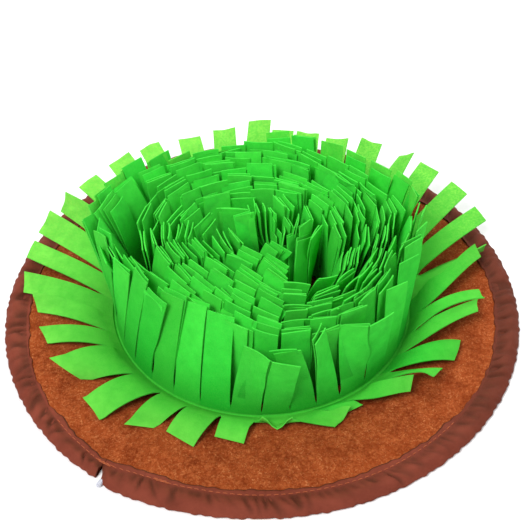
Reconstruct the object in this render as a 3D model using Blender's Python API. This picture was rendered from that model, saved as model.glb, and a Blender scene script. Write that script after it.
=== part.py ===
"""A snuffle mat for a dog: a round felt base with a gathered casing sewn round its rim, a grey
anti-slip disc under it, and seven rings of green felt fringe that stand and splay on top.

Metres, +Z up. The origin is on the floor, under the mat's centre. +X is to the right and -Y to the
front. Azimuths are in degrees, anticlockwise from +X.
"""
import math
import random

import bpy
import bmesh
from mathutils import Vector

# ---------------------------------------------------------------- driving sizes
RIM_RADIUS = 0.250            # the mat is 0.50 m across
CLEARANCE = 0.0003            # between sewn pieces

GRIP_RADIUS = 0.165           # anti-slip disc under the mat
GRIP_THICKNESS = 0.0010

BASE_RADIUS = 0.2353          # the felt's own edge, inside the casing
BASE_THICKNESS = 0.0025
BASE_BOTTOM = GRIP_THICKNESS + CLEARANCE
BASE_TOP = BASE_BOTTOM + BASE_THICKNESS
WRINKLE_HEIGHT = 0.0026
WRINKLE_RINGS = (0.150, 0.163, 0.176, 0.190, 0.203, 0.215, 0.2235)
WRINKLES = ((0.27, 5, 0.7), (0.23, 9, 2.1))  # share of the height, troughs all round, phase
WRINKLES_IN, WRINKLES_OUT = 0.030, 0.025  # over how far the troughs fade in and out
BASE_SECTORS = 72

CASING_SECTORS = 144
NOTCH_AZIMUTH = 235.5         # where the casing's two ends meet
NOTCH_HALF_GAP = 0.0034       # at the rim; it closes towards the seam
NOTCH_INNER_HALF_GAP = 0.0003
TUNNEL_DEPTH_DEGREES = 4.0    # how far each end's tunnel is open
CORD_RADIUS = 0.0019
CORD_PROUD_DEGREES = 0.85     # the drawcord's tip outside its tunnel
CORD_SIDES = 12
CORD_FROM_TUNNEL_END = 0.4    # in degrees
CORD_TIP = ((0.5, 1.0), (0.12, 0.86), (0.0, 0.5))  # degrees behind the tip, share of its radius

FELT_THICKNESS = 0.0014       # of the green fringe
BACKING_BOTTOM = BASE_TOP + CLEARANCE
BACKING_TOP = BACKING_BOTTOM + 0.0028
HALF_SPREAD = 0.0027          # from a band's seam to the middle of each of its halves
SLIT_WIDTH = 0.0009
FINGER_LENGTH = 0.088
STEPS_ALONG_FINGER = 24       # for working out a finger's curve
STANDING_PLACES = (0.22, 0.60, 1.0)
SPLAYED_PLACES = (0.18, 0.42, 0.70, 1.0)
CLEAR_OF_NEIGHBOUR = 0.0044   # at this depth one finger may pass in front of the next
LOWEST_FRINGE = BASE_TOP + WRINKLE_HEIGHT + CLEARANCE
MOST_TWIST = 24.0             # from an inner finger's root to its top
MOST_PUSH = 0.005             # how far a finger is moved in to clear the layer round it
BLADE_SPREAD = 0.0035         # how much further apart the edge-on layers stand, from side to side
BLADE_TURN = 0.2              # how far the edge-on layers are turned, as a share of their azimuth
BLADES_FROM, BLADES_UNTIL = -70.0, 135.0  # their azimuths
BLADES_IN, BLADES_OUT = 20.0, 35.0  # over how many degrees they begin and end
BLADES_MIDDLE = 10.5          # the place among the layers that they spread from
TURN_SWING = 1.0              # how unevenly the inner bands' fingers stand, in degrees and metres
SIDEWAYS_SWING = 0.0015
REACH_SWING = 0.0010
LENGTH_SWING = 0.015          # as a share
SLIT_SWING = 0.1              # as a share of the slits' pitch
WALL_BOW, INNER_BOW = 0.35, 0.5  # how much more a finger leans at its top than at its root
WALL_EASE, INNER_EASE = 0.9, 0.8  # the share of its length over which a finger's width turns
SKIRT_SQUARE = 0.2
MOST_LEAN = 0.93              # of a standing finger's length
LEAST_RISE = 0.1              # the same, for the height of each step up it
SPLAYED_ARM = 0.38            # how far a splayed finger keeps its slopes, as a share of its length
TWIST_SPAN = 3.0              # degrees to each side, to find a layer's direction
SEED = 14

BROWN_FELT = (0.33, 0.075, 0.018)
GREEN_FELT = (0.045, 0.60, 0.045)
CASING_CLOTH = (0.20, 0.052, 0.032)
GRIP_FABRIC = (0.075, 0.09, 0.12)
CORD_GREY = (0.55, 0.56, 0.60)

# one band of fringe to a line: where its seam is, and how many fingers each half is slit into
BANDS = (
    # name,         seam radius, fingers
    ("fringe_ring_1", 0.144, 35),
    ("fringe_ring_2", 0.126, 30),
    ("fringe_ring_3", 0.105, 25),
    ("fringe_ring_4", 0.085, 20),
    ("fringe_ring_5", 0.065, 16),
    ("fringe_ring_6", 0.045, 11),
    ("fringe_ring_7", 0.025, 6),
)
SLITS_START = -84.0           # each band's ends meet here, so a cleft shows at the front
SHARED_SLITS_FROM = 5         # the two smallest bands have both halves slit at the same places

# Tops of the standing layers by the azimuth of their roots. Layer 0 is the outermost band's
# standing half and layer 12 the smallest band's inner half. Layer 0's top is at its reach and
# layer 12's at its place. First, second and third say how much of the way those layers are.
# Before and behind say so for the two layers on either side of the hollow round the centre.
PILE_CENTRE = Vector((0.004, 0.006, 0.0))
LAST_LAYER = 12
PILE_STEP = 24.0
BEFORE_HOLLOW = 8             # the last layer in front of the hollow
PILE = (
    # azimuth, outer reach, first, second, third, before, behind, innermost x, innermost y
    (-84, 0.142, 0.11, 0.22, 0.29, 0.63, 0.82, 0.014, -0.018),
    (-60, 0.141, 0.08, 0.165, 0.215, 0.49, 0.90, 0.020, 0.004),
    (-36, 0.137, 0.065, 0.135, 0.18, 0.43, 0.87, 0.020, 0.014),
    (-12, 0.140, 0.085, 0.16, 0.22, 0.55, 0.80, 0.026, 0.014),
    (12, 0.151, 0.09, 0.18, 0.27, 0.67, 0.78, 0.026, 0.018),
    (36, 0.158, 0.22, 0.27, 0.33, 0.68, 0.79, 0.022, 0.024),
    (60, 0.156, 0.23, 0.29, 0.35, 0.71, 0.86, 0.012, 0.032),
    (84, 0.150, 0.12, 0.21, 0.29, 0.74, 0.91, 0.000, 0.036),
    (108, 0.146, 0.08, 0.16, 0.25, 0.73, 0.91, -0.012, 0.036),
    (132, 0.152, 0.07, 0.14, 0.24, 0.70, 0.86, -0.022, 0.028),
    (156, 0.171, 0.05, 0.11, 0.38, 0.70, 0.78, -0.028, 0.014),
    (180, 0.160, 0.05, 0.10, 0.38, 0.66, 0.75, -0.026, 0.002),
    (204, 0.130, 0.08, 0.16, 0.34, 0.68, 0.77, -0.018, -0.008),
    (228, 0.113, 0.09, 0.18, 0.27, 0.68, 0.77, -0.002, -0.016),
    (252, 0.120, 0.09, 0.18, 0.27, 0.68, 0.77, 0.012, -0.020),
    (276, 0.140, 0.10, 0.20, 0.28, 0.68, 0.77, 0.020, -0.024),
)
LAYER_SPACE = 0.0054          # least distance between a layer's top edges and the next layer's

# The outermost band's standing half, one finger to a line. A finger runs from its slit to the
# next line's slit. Turn is how far its top edge is swung from square to its reach.
WALL = (
    # slit, top azimuth, top reach, turn, length
    (184.0, 180.0, 0.151, 34, 0.094),
    (194.0, 199.0, 0.132, 20, 0.090),
    (203.5, 209.5, 0.122, 4, 0.098),
    (213.0, 221.0, 0.122, 2, 0.093),
    (224.5, 226.0, 0.112, 6, 0.096),
    (235.0, 236.0, 0.107, -4, 0.096),
    (246.5, 251.0, 0.110, -14, 0.096),
    (258.0, 268.3, 0.145, -30, 0.084),
    (269.5, 277.4, 0.154, -15, 0.082),
    (280.0, 278.5, 0.142, -10, 0.084),
    (290.0, 291.5, 0.136, 42, 0.086),
    (299.0, 306.0, 0.138, -40, 0.084),
    (311.0, 314.5, 0.148, -10, 0.084),
    (322.0, 329.0, 0.136, -10, 0.086),
    (332.0, 340.0, 0.140, 14, 0.090),
    (343.0, 350.0, 0.138, 8, 0.086),
    (354.0, 1.0, 0.146, -6, 0.086),
    (364.0, 11.0, 0.156, -20, 0.086),
    (375.0, 23.0, 0.158, -6, 0.086),
    (385.0, 31.0, 0.168, 8, 0.088),
    (395.0, 40.0, 0.157, 12, 0.088),
    (405.0, 51.0, 0.153, -4, 0.088),
    (415.0, 62.0, 0.155, 0, 0.088),
    (425.0, 73.0, 0.156, -6, 0.088),
    (435.0, 83.5, 0.158, 4, 0.088),
    (445.0, 94.0, 0.139, 6, 0.084),
    (455.0, 104.0, 0.137, 0, 0.084),
    (465.0, 114.0, 0.139, -8, 0.084),
    (475.0, 124.0, 0.144, -6, 0.086),
    (485.0, 131.0, 0.158, -4, 0.086),
    (495.0, 140.0, 0.168, -10, 0.088),
    (505.0, 148.0, 0.171, -14, 0.088),
    (515.0, 156.0, 0.172, -6, 0.088),
    (525.0, 161.0, 0.172, 4, 0.090),
    (534.5, 168.0, 0.170, 4, 0.090),
)

# The outermost band's splayed half. Rise is the slope at which a finger leaves its seam, and fall
# the slope at its tip, which is below zero where it droops. Roll tips it over about its length.
SKIRT = (
    # slit, tip azimuth, tip reach, tip height, rise, fall, turn, roll
    (169.0, 164.4, 0.242, 0.020, 30, 5, 8, 0),
    (179.0, 174.5, 0.236, 0.014, 30, -5, 8, 26),
    (188.0, 181.0, 0.221, 0.012, 35, -10, 20, 22),
    (197.0, 192.0, 0.213, 0.008, 40, -20, 20, 0),
    (206.5, 207.0, 0.204, 0.008, 50, -35, 20, 34),
    (220.5, 221.3, 0.205, 0.006, 50, -35, -6, 0),
    (233.0, 235.0, 0.192, 0.006, 50, -35, 30, 20),
    (243.8, 246.5, 0.184, 0.006, 50, -40, -12, 0),
    (256.0, 260.0, 0.174, 0.006, 50, -40, -8, 0),
    (267.0, 274.5, 0.158, 0.014, 20, 50, -6, 0),
    (278.0, 295.5, 0.160, 0.012, 25, 0, 30, 40),
    (288.0, 300.0, 0.164, 0.014, 20, 10, 36, 30),
    (297.5, 316.0, 0.180, 0.020, 40, -5, 24, 30),
    (308.0, 328.0, 0.190, 0.016, 45, -15, -10, 10),
    (318.5, 339.0, 0.196, 0.010, 45, -25, -4, 0),
    (329.0, 352.0, 0.208, 0.012, 40, -20, -12, 0),
    (339.0, 357.5, 0.216, 0.028, 52, -10, 6, 0),
    (349.0, 8.0, 0.222, 0.020, 40, -10, 0, 5),
    (359.0, 15.0, 0.229, 0.024, 38, 0, -6, 0),
    (369.0, 23.5, 0.245, 0.032, 38, 5, -6, 0),
    (378.5, 32.5, 0.245, 0.037, 40, 10, -2, 0),
    (388.5, 42.3, 0.242, 0.040, 40, 10, 0, 0),
    (398.5, 49.0, 0.238, 0.043, 40, 10, 2, 40),
    (408.5, 59.0, 0.234, 0.045, 42, 15, -2, 0),
    (418.5, 68.2, 0.226, 0.043, 42, 15, 10, 10),
    (428.5, 76.5, 0.224, 0.044, 42, 15, 0, 0),
    (438.5, 83.5, 0.222, 0.046, 42, 15, 0, 0),
    (448.0, 90.0, 0.227, 0.055, 45, 22, 10, 0),
    (458.0, 100.1, 0.222, 0.050, 45, 20, 6, 0),
    (468.0, 110.0, 0.224, 0.045, 42, 15, -20, 10),
    (478.0, 121.0, 0.231, 0.045, 42, 15, 10, 0),
    (488.0, 130.5, 0.231, 0.045, 42, 15, -6, 20),
    (498.5, 141.0, 0.233, 0.040, 40, 12, 2, 0),
    (509.0, 149.0, 0.238, 0.033, 36, 5, 6, 62),
    (518.5, 157.0, 0.240, 0.030, 34, 8, 0, 30),
)

# The casing's section, from the top flange's inner edge over the tube to the floor and back.
# Pucker is how much of the gathers' swing each point takes.
CASING_SECTION = (
    # radius, height, pucker
    (0.2240, 0.0041, 0.0),
    (0.2240, 0.0054, 0.2),
    (0.2290, 0.0056, 0.3),
    (0.2335, 0.0074, 0.8),
    (0.2400, 0.0084, 1.0),
    (0.2448, 0.0074, 0.9),
    (0.2484, 0.0054, 0.5),
    (0.2500, 0.0030, 0.0),
    (0.2490, 0.0008, 0.0),
    (0.2472, 0.0000, 0.0),
    (0.2358, 0.0000, 0.0),
    (0.2358, 0.0041, 0.0),
)
TUNNEL_CENTRE = (0.2432, 0.0036)
TUNNEL_SCALE = 0.62
TUNNEL_POINTS = range(3, 11)  # the section's points that lie round the tunnel
PUCKER_HEIGHT = 0.0011
GATHERS = ((0.45, 31, 1.3), (0.35, 43, 0.4), (0.20, 23, 2.0))  # share, puckers all round, phase
EDGE_SWING = 0.0004           # how far the outer edge's puckers come in
EDGE_FROM, EDGE_WIDTH = 0.240, 0.008
SEAM_SWING = 0.0007           # how unevenly the inner edge is folded under
SEAM_WAVES = 13
SEAM_UNTIL, SEAM_WIDTH = 0.228, 0.003


# ---------------------------------------------------------------- small geometry
def around(azimuth, radius=1.0, height=0.0):
    angle = math.radians(azimuth)
    return Vector((radius * math.cos(angle), radius * math.sin(angle), height))


def tangent_at(azimuth):
    return around(azimuth + 90.0)


def swung(vector, degrees):
    """The vector turned about the vertical."""
    angle = math.radians(degrees)
    cosine, sine = math.cos(angle), math.sin(angle)
    return Vector((cosine * vector.x - sine * vector.y, sine * vector.x + cosine * vector.y, vector.z))


def smooth(t):
    t = min(max(t, 0.0), 1.0)
    return t * t * (3.0 - 2.0 * t)


def pile_value(azimuth, column):
    """A column of the pile's table at an azimuth, read smoothly between its lines."""
    last = len(PILE) - 1
    place = min(max((azimuth - PILE[0][0]) / PILE_STEP, 0.0), last - 1e-6)
    line = int(place)
    t = place - line
    a, b, c, d = (PILE[min(max(line + k, 0), last)][column] for k in (-1, 0, 1, 2))
    return b + 0.5 * t * (c - a + t * (2 * a - 5 * b + 4 * c - d + t * (3 * (b - c) + d - a)))


def new_object(name, mesh_builder, colour, roughness):
    """Turn a bmesh into a named object with its own material."""
    bmesh.ops.recalc_face_normals(mesh_builder, faces=mesh_builder.faces)
    mesh = bpy.data.meshes.new(name)
    mesh_builder.to_mesh(mesh)
    mesh_builder.free()
    piece = bpy.data.objects.new(name, mesh)
    bpy.context.scene.collection.objects.link(piece)
    material = bpy.data.materials.new(name)
    material.use_nodes = True
    shader = material.node_tree.nodes["Principled BSDF"]
    shader.inputs["Base Color"].default_value = (*colour, 1.0)
    shader.inputs["Roughness"].default_value = roughness
    shader.inputs["Metallic"].default_value = 0.0
    mesh.materials.append(material)
    return piece


# ---------------------------------------------------------------- the mat's own cloth
def disc_ring(mesh, radius, height, sectors):
    return [mesh.verts.new(around(360.0 * k / sectors, radius, height(360.0 * k / sectors)))
            for k in range(sectors)]


def bridge(mesh, first, second):
    """Quads between two closed rings of the same count."""
    count = len(first)
    for k in range(count):
        n = (k + 1) % count
        mesh.faces.new((first[k], first[n], second[n], second[k]))


def fan(mesh, ring, height):
    centre = mesh.verts.new((0.0, 0.0, height))
    for k in range(len(ring)):
        mesh.faces.new((ring[k], ring[(k + 1) % len(ring)], centre))


def wrinkle(azimuth, radius):
    """Soft radial troughs in the felt outside the fringe; none under the fringe or the casing."""
    angle = math.radians(azimuth)
    wave = 0.5 + sum(share * math.sin(count * angle + phase) for share, count, phase in WRINKLES)
    inside = smooth((radius - WRINKLE_RINGS[0]) / WRINKLES_IN)
    outside = smooth((WRINKLE_RINGS[-1] - radius) / WRINKLES_OUT)
    return WRINKLE_HEIGHT * wave * inside * outside


def make_grip():
    mesh = bmesh.new()
    bottom = disc_ring(mesh, GRIP_RADIUS, lambda azimuth: 0.0, BASE_SECTORS)
    top = disc_ring(mesh, GRIP_RADIUS, lambda azimuth: GRIP_THICKNESS, BASE_SECTORS)
    bridge(mesh, bottom, top)
    fan(mesh, bottom, 0.0)
    fan(mesh, top, GRIP_THICKNESS)
    return new_object("grip_disc", mesh, GRIP_FABRIC, 0.9)


def make_base():
    mesh = bmesh.new()
    edge = {}
    for level in (BASE_BOTTOM, BASE_TOP):
        rings = []
        for radius in (*WRINKLE_RINGS, BASE_RADIUS):
            def height(azimuth, radius=radius, level=level):
                return level + wrinkle(azimuth, radius)
            rings.append(disc_ring(mesh, radius, height, BASE_SECTORS))
        fan(mesh, rings[0], level)
        for first, second in zip(rings, rings[1:]):
            bridge(mesh, first, second)
        edge[level] = rings[-1]
    bridge(mesh, edge[BASE_BOTTOM], edge[BASE_TOP])
    return new_object("felt_base", mesh, BROWN_FELT, 0.95)


# ---------------------------------------------------------------- the gathered casing
def gather(azimuth):
    """The casing's uneven puckers, from -1 to 1."""
    angle = math.radians(azimuth)
    return sum(share * math.sin(count * angle + phase) for share, count, phase in GATHERS)


def casing_point(index, azimuth):
    radius, height, pucker = CASING_SECTION[index]
    swing = gather(azimuth)
    height += PUCKER_HEIGHT * pucker * swing
    radius -= EDGE_SWING * (1.0 + swing) * smooth((radius - EDGE_FROM) / EDGE_WIDTH)
    wave = math.sin(math.radians(SEAM_WAVES * azimuth))
    radius += SEAM_SWING * wave * smooth((SEAM_UNTIL - radius) / SEAM_WIDTH)
    return radius, height


def end_azimuth(side, radius):
    """The azimuth of an end of the casing at a radius: the notch is a V that opens outwards."""
    inner, outer = CASING_SECTION[2][0], RIM_RADIUS
    t = smooth((radius - inner) / (outer - inner))
    half_gap = NOTCH_INNER_HALF_GAP + (NOTCH_HALF_GAP - NOTCH_INNER_HALF_GAP) * t
    return NOTCH_AZIMUTH + side * math.degrees(half_gap / radius)


def casing_ring(mesh, azimuth, end=0):
    """One section of the casing. An end section follows the notch's slant."""
    ring = []
    for index in range(len(CASING_SECTION)):
        radius, height = casing_point(index, azimuth)
        place = end_azimuth(end, radius) if end else azimuth
        ring.append(mesh.verts.new(around(place, radius, height)))
    return ring


def tunnel_ring(mesh, end, depth):
    """The tunnel's outline at a depth in degrees behind an end of the casing."""
    ring = []
    for index in TUNNEL_POINTS:
        radius, height = casing_point(index, NOTCH_AZIMUTH)
        radius = TUNNEL_CENTRE[0] + TUNNEL_SCALE * (radius - TUNNEL_CENTRE[0])
        height = TUNNEL_CENTRE[1] + TUNNEL_SCALE * (height - TUNNEL_CENTRE[1])
        ring.append(mesh.verts.new(around(end_azimuth(end, radius) + end * depth, radius, height)))
    return ring


def close_end(mesh, section, end):
    """Close an end of the casing round the mouth of its tunnel."""
    mouth = tunnel_ring(mesh, end, 0.0)
    floor = tunnel_ring(mesh, end, TUNNEL_DEPTH_DEGREES)
    first, last = TUNNEL_POINTS[0], TUNNEL_POINTS[-1]
    for k in range(len(mouth) - 1):
        mesh.faces.new((section[first + k], section[first + k + 1], mouth[k + 1], mouth[k]))
    mesh.faces.new((section[last], section[last + 1], mouth[0], mouth[-1]))
    mesh.faces.new((section[last + 1], section[first], mouth[0]))
    mesh.faces.new((section[last + 1], *section[:first + 1]))
    bridge(mesh, mouth, floor)
    mesh.faces.new(floor)


def make_casing():
    mesh = bmesh.new()
    step = 360.0 / CASING_SECTORS
    sections = [casing_ring(mesh, NOTCH_AZIMUTH, end=1)]
    for k in range(1, CASING_SECTORS):
        sections.append(casing_ring(mesh, NOTCH_AZIMUTH + k * step))
    sections.append(casing_ring(mesh, NOTCH_AZIMUTH, end=-1))
    for first, second in zip(sections, sections[1:]):
        bridge(mesh, first, second)
    close_end(mesh, sections[0], 1)
    close_end(mesh, sections[-1], -1)
    return new_object("rim_casing", mesh, CASING_CLOTH, 0.6)


def make_cord_end():
    """The drawcord's sealed tip, which shows at one of the casing's two mouths."""
    mesh = bmesh.new()
    centre_radius, centre_height = TUNNEL_CENTRE
    start = end_azimuth(1, centre_radius) + TUNNEL_DEPTH_DEGREES - CORD_FROM_TUNNEL_END
    tip = end_azimuth(1, centre_radius) - CORD_PROUD_DEGREES
    rings = []
    for azimuth, share in ((start, 1.0), *((tip + behind, share) for behind, share in CORD_TIP)):
        ring = []
        for k in range(CORD_SIDES):
            angle = 2.0 * math.pi * k / CORD_SIDES
            radius = centre_radius + CORD_RADIUS * share * math.cos(angle)
            height = centre_height + CORD_RADIUS * share * math.sin(angle)
            ring.append(mesh.verts.new(around(azimuth, radius, height)))
        rings.append(ring)
    for first, second in zip(rings, rings[1:]):
        bridge(mesh, first, second)
    mesh.faces.new(rings[0])
    mesh.faces.new(rings[-1])
    return new_object("drawcord_end", mesh, CORD_GREY, 0.5)


# ---------------------------------------------------------------- the green fringe
class Finger:
    """A strip of felt between two slits: its centre-line, and how its width lies along it.

    The width turns from the root's direction to the top's within the first part of its length,
    ease, and rolls about the centre-line by roll degrees at the tip. Square is how nearly its cuts
    stay square to its length: at 0 it keeps the root's direction however the finger is swept."""

    def __init__(self, start, stop, radius, points, top_side, ease, square, roll=0.0):
        self.start, self.stop = start, stop
        self.half = radius * math.sin(math.radians(stop - start) / 2.0)
        self.points = points
        self.root_side = tangent_at((start + stop) / 2.0)
        self.top_side = top_side
        self.ease = ease
        self.square = square
        self.roll = math.radians(roll)

    def frame(self, place):
        """The middle, width direction and face direction at a share of the length."""
        k = round(place * STEPS_ALONG_FINGER)
        along = self.points[min(k + 1, STEPS_ALONG_FINGER)] - self.points[max(k - 1, 0)]
        along.normalize()
        side = self.root_side.lerp(self.top_side, smooth(place / self.ease))
        side -= along * (side.dot(along) * self.square)
        side.normalize()
        out = side.cross(along).normalized()
        cosine, sine = math.cos(self.roll * place), math.sin(self.roll * place)
        return self.points[k], side * cosine + out * sine, out * cosine - side * sine

    def room_beside(self, other, place):
        """The half width at a place, less where the finger beside this one is in the way."""
        middle, side, out = self.frame(place)
        beside = min(other.points, key=lambda point: (point - middle).cross(side).length)
        offset = beside - middle
        other_side = other.frame(place)[1]
        across = offset.dot(side)
        facing = 1.0 if across > 0.0 else -1.0
        slope = other_side.dot(out) / max(other_side.dot(side), 0.3)
        heights = [offset.dot(out) + (x - across) * slope
                   for x in (across - facing * other.half, facing * self.half)]
        if min(heights) > CLEAR_OF_NEIGHBOUR or max(heights) < -CLEAR_OF_NEIGHBOUR:
            return self.half
        return min(self.half, max(abs(across) / 2.0 - SLIT_WIDTH / 2.0, 0.2 * self.half))


def finger_sections(finger, before, after, places):
    """The four corners of a finger at each place along it, clear of its neighbours and the felt."""
    sections = []
    for place in places:
        middle, side, out = finger.frame(place)
        left = middle - side * finger.room_beside(before, place)
        right = middle + side * finger.room_beside(after, place)
        through = out * (FELT_THICKNESS / 2.0)
        corners = [left + through, right + through, right - through, left - through]
        lift = max(0.0, LOWEST_FRINGE - min(corner.z for corner in corners))
        for corner in corners:
            corner.z += lift
        sections.append(corners)
    return sections


def top_of_layer(azimuth, layer):
    """Where the top of a standing layer is, seen from above."""
    reach, first, second, third, before, behind, x, y = (
        pile_value(azimuth, column) for column in range(1, 9))
    marks = ((0, 0.0), (1, first), (2, second), (3, third), (BEFORE_HOLLOW, before),
             (BEFORE_HOLLOW + 1, behind), (LAST_LAYER, 1.0))
    for (low, near), (high, far) in zip(marks, marks[1:]):
        if layer <= high:
            share = near + (far - near) * (layer - low) / (high - low)
            break
    return around(azimuth, reach) * (1.0 - share) + Vector((x, y, 0.0)) * share


def root_of(start, stop, radius):
    """The middle of a finger's root, which is a chord of its band's circle."""
    half = math.radians(stop - start) / 2.0
    return around((start + stop) / 2.0, radius * math.cos(half), BACKING_TOP)


def standing_curve(root, top, length, bow):
    """Points up a standing finger of a given length, which leans from its root over to its top."""
    lean = Vector((top.x - root.x, top.y - root.y, 0.0))
    room = MOST_LEAN * length / max(lean.length, 1e-6)
    lean *= min(1.0, room)
    bow = min(bow, MOST_LEAN * length / max(lean.length, 1e-6) - 1.0)
    points = [root.copy()]
    height = 0.0
    step = 1.0 / STEPS_ALONG_FINGER
    for k in range(STEPS_ALONG_FINGER):
        middle = (k + 0.5) * step
        sideways = lean.length * (1.0 - bow + 2.0 * bow * middle)
        height += step * math.sqrt(max(length ** 2 - sideways ** 2, (LEAST_RISE * length) ** 2))
        u = (k + 1) * step
        points.append(root + lean * ((1.0 - bow) * u + bow * u * u) + Vector((0.0, 0.0, height)))
    return points


def splayed_curve(root, tip, outward, rise, fall):
    """Points along a splayed finger, a curve that leaves its root on a slope and may droop."""
    heading = Vector((tip.x - root.x, tip.y - root.y, 0.0)).normalized()
    arm = SPLAYED_ARM * (tip - root).length
    up = Vector((0.0, 0.0, 1.0))
    rise, fall = math.radians(rise), math.radians(fall)
    leave = (outward + heading).normalized() * math.cos(rise) + up * math.sin(rise)
    arrive = heading * math.cos(fall) + up * math.sin(fall)
    a, b, c, d = root, root + leave * arm, tip - arrive * arm, tip
    points = []
    for k in range(STEPS_ALONG_FINGER + 1):
        u = k / STEPS_ALONG_FINGER
        v = 1.0 - u
        points.append(a * v ** 3 + b * (3 * u * v * v) + c * (3 * u * u * v) + d * u ** 3)
    return points


def spans_of(slits, radius):
    """Start and stop azimuths of the fingers between slits, less the slits' own width."""
    half_slit = math.degrees(SLIT_WIDTH / 2.0 / radius)
    closed = [*slits, slits[0] + 360.0]
    return [(a + half_slit, b - half_slit) for a, b in zip(closed, closed[1:])]


def wall_fingers(radius):
    fingers = []
    spans = spans_of([line[0] for line in WALL], radius)
    for (start, stop), (_, azimuth, reach, turn, length) in zip(spans, WALL):
        points = standing_curve(root_of(start, stop, radius), around(azimuth, reach), length, WALL_BOW)
        side = swung(tangent_at(azimuth), turn)
        fingers.append(Finger(start, stop, radius, points, side, WALL_EASE, 1.0))
    return fingers


def skirt_fingers(radius):
    fingers = []
    spans = spans_of([line[0] for line in SKIRT], radius)
    for (start, stop), (_, azimuth, reach, height, rise, fall, turn, roll) in zip(spans, SKIRT):
        root = root_of(start, stop, radius)
        tip = around(azimuth, reach, height)
        points = splayed_curve(root, tip, around((start + stop) / 2.0), rise, fall)
        side = swung(tangent_at(azimuth), turn)
        fingers.append(Finger(start, stop, radius, points, side, 1.0, SKIRT_SQUARE, roll))
    return fingers


class TopEdge:
    """The top edge of a standing finger, seen from above with the pile's centre as origin."""

    def __init__(self, middle, side, half):
        self.middle = Vector((middle.x, middle.y)) - PILE_CENTRE.xy
        self.side = side.xy
        self.half = half

    def azimuths(self):
        """The whole degrees that the edge spans."""
        ends = [self.middle + self.side * (self.half * sign) for sign in (-1.0, 1.0)]
        middle = math.atan2(self.middle.y, self.middle.x)
        turns = [math.remainder(math.atan2(end.y, end.x) - middle, math.tau) for end in ends]
        low, high = (math.degrees(middle + turn) for turn in (min(turns), max(turns)))
        return range(math.ceil(low), math.floor(high) + 1)

    def distance(self, azimuth):
        """How far the edge's line is from the pile's centre at an azimuth."""
        ray = around(azimuth).xy
        return self.middle.cross(self.side) / ray.cross(self.side)


def inner_outline(edges):
    """The distance of a layer's top edges from the pile's centre at each whole degree."""
    outline = {}
    for edge in edges:
        for azimuth in edge.azimuths():
            distance = edge.distance(azimuth)
            outline[azimuth % 360] = min(distance, outline.get(azimuth % 360, distance))
    return outline


def blade_share(azimuth, layer):
    """How nearly a finger is one of those right of and behind the hollow, which stand edge-on."""
    depth = min(max(layer - BEFORE_HOLLOW, 0.0), 1.0)
    begun = smooth((azimuth - BLADES_FROM) / BLADES_IN)
    return depth * begun * smooth((BLADES_UNTIL - azimuth) / BLADES_OUT)


def inner_fingers(radius, slits, layer, outline, chance):
    """One half of an inner band: its fingers follow the pile, inside the layer round them."""
    fingers, edges = [], []
    for start, stop in spans_of(slits, radius):
        middle = (start + stop) / 2.0
        half = radius * math.sin(math.radians(stop - start) / 2.0)
        top = top_of_layer(middle, layer)
        along = top_of_layer(middle + TWIST_SPAN, layer) - top_of_layer(middle - TWIST_SPAN, layer)
        twist = math.remainder(math.atan2(along.y, along.x) - math.radians(middle + 90.0), math.tau)
        twist = min(max(math.degrees(twist), -MOST_TWIST), MOST_TWIST)
        blade = blade_share(middle, layer)
        twist -= BLADE_TURN * blade * middle
        side = swung(tangent_at(middle), twist + chance.uniform(-TURN_SWING, TURN_SWING))
        top += side * chance.uniform(-SIDEWAYS_SWING, SIDEWAYS_SWING)
        top.x += blade * BLADE_SPREAD * (BLADES_MIDDLE - layer)
        inward = (PILE_CENTRE - top).normalized()
        top += inward * chance.uniform(-REACH_SWING, REACH_SWING)
        edge = TopEdge(top, side, half)
        excess = max((edge.distance(azimuth) + LAYER_SPACE - outline[azimuth % 360]
                      for azimuth in edge.azimuths() if azimuth % 360 in outline), default=0.0)
        top += inward * min(max(0.0, excess), MOST_PUSH)
        edges.append(TopEdge(top, side, half))
        length = FINGER_LENGTH * chance.uniform(1.0 - LENGTH_SWING, 1.0 + LENGTH_SWING)
        points = standing_curve(root_of(start, stop, radius), top, length, INNER_BOW)
        fingers.append(Finger(start, stop, radius, points, side, INNER_EASE, 1.0))
    return fingers, {**outline, **inner_outline(edges)}


def ends_of(fingers):
    """The azimuths of a row's slits, two to a finger."""
    return [azimuth for finger in fingers for azimuth in (finger.start, finger.stop)]


def line_round(mesh, fingers, radius, height):
    return [mesh.verts.new(around(azimuth, radius, height)) for azimuth in ends_of(fingers)]


def zip_rings(mesh, first, first_azimuths, second, second_azimuths):
    """Triangles between two rings whose vertices don't match, taken in order of azimuth."""
    i, j = 0, 0
    first_count, second_count = len(first), len(second)
    while i < first_count or j < second_count:
        next_first = first_azimuths[i + 1] if i + 1 < first_count else first_azimuths[0] + 360.0
        next_second = second_azimuths[j + 1] if j + 1 < second_count else second_azimuths[0] + 360.0
        take_first = j >= second_count or (i < first_count and next_first <= next_second)
        a, b = first[i % first_count], second[j % second_count]
        if take_first:
            mesh.faces.new((a, first[(i + 1) % first_count], b))
            i += 1
        else:
            mesh.faces.new((a, second[(j + 1) % second_count], b))
            j += 1


def add_half(mesh, fingers, places, outer_radius, inner_radius):
    """One half of a band: the backing's top between the slits, and the fingers on it."""
    outer = line_round(mesh, fingers, outer_radius, BACKING_TOP)
    inner = line_round(mesh, fingers, inner_radius, BACKING_TOP)
    count = len(outer)
    for k in range(1, count, 2):
        n = (k + 1) % count
        mesh.faces.new((outer[k], outer[n], inner[n], inner[k]))
    for k, finger in enumerate(fingers):
        before, after = fingers[k - 1], fingers[(k + 1) % len(fingers)]
        a, b = 2 * k, 2 * k + 1
        below = (outer[a], outer[b], inner[b], inner[a])
        for corners in finger_sections(finger, before, after, places):
            above = tuple(mesh.verts.new(corner) for corner in corners)
            bridge(mesh, below, above)
            below = above
        mesh.faces.new(below)
    return outer, inner


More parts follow.
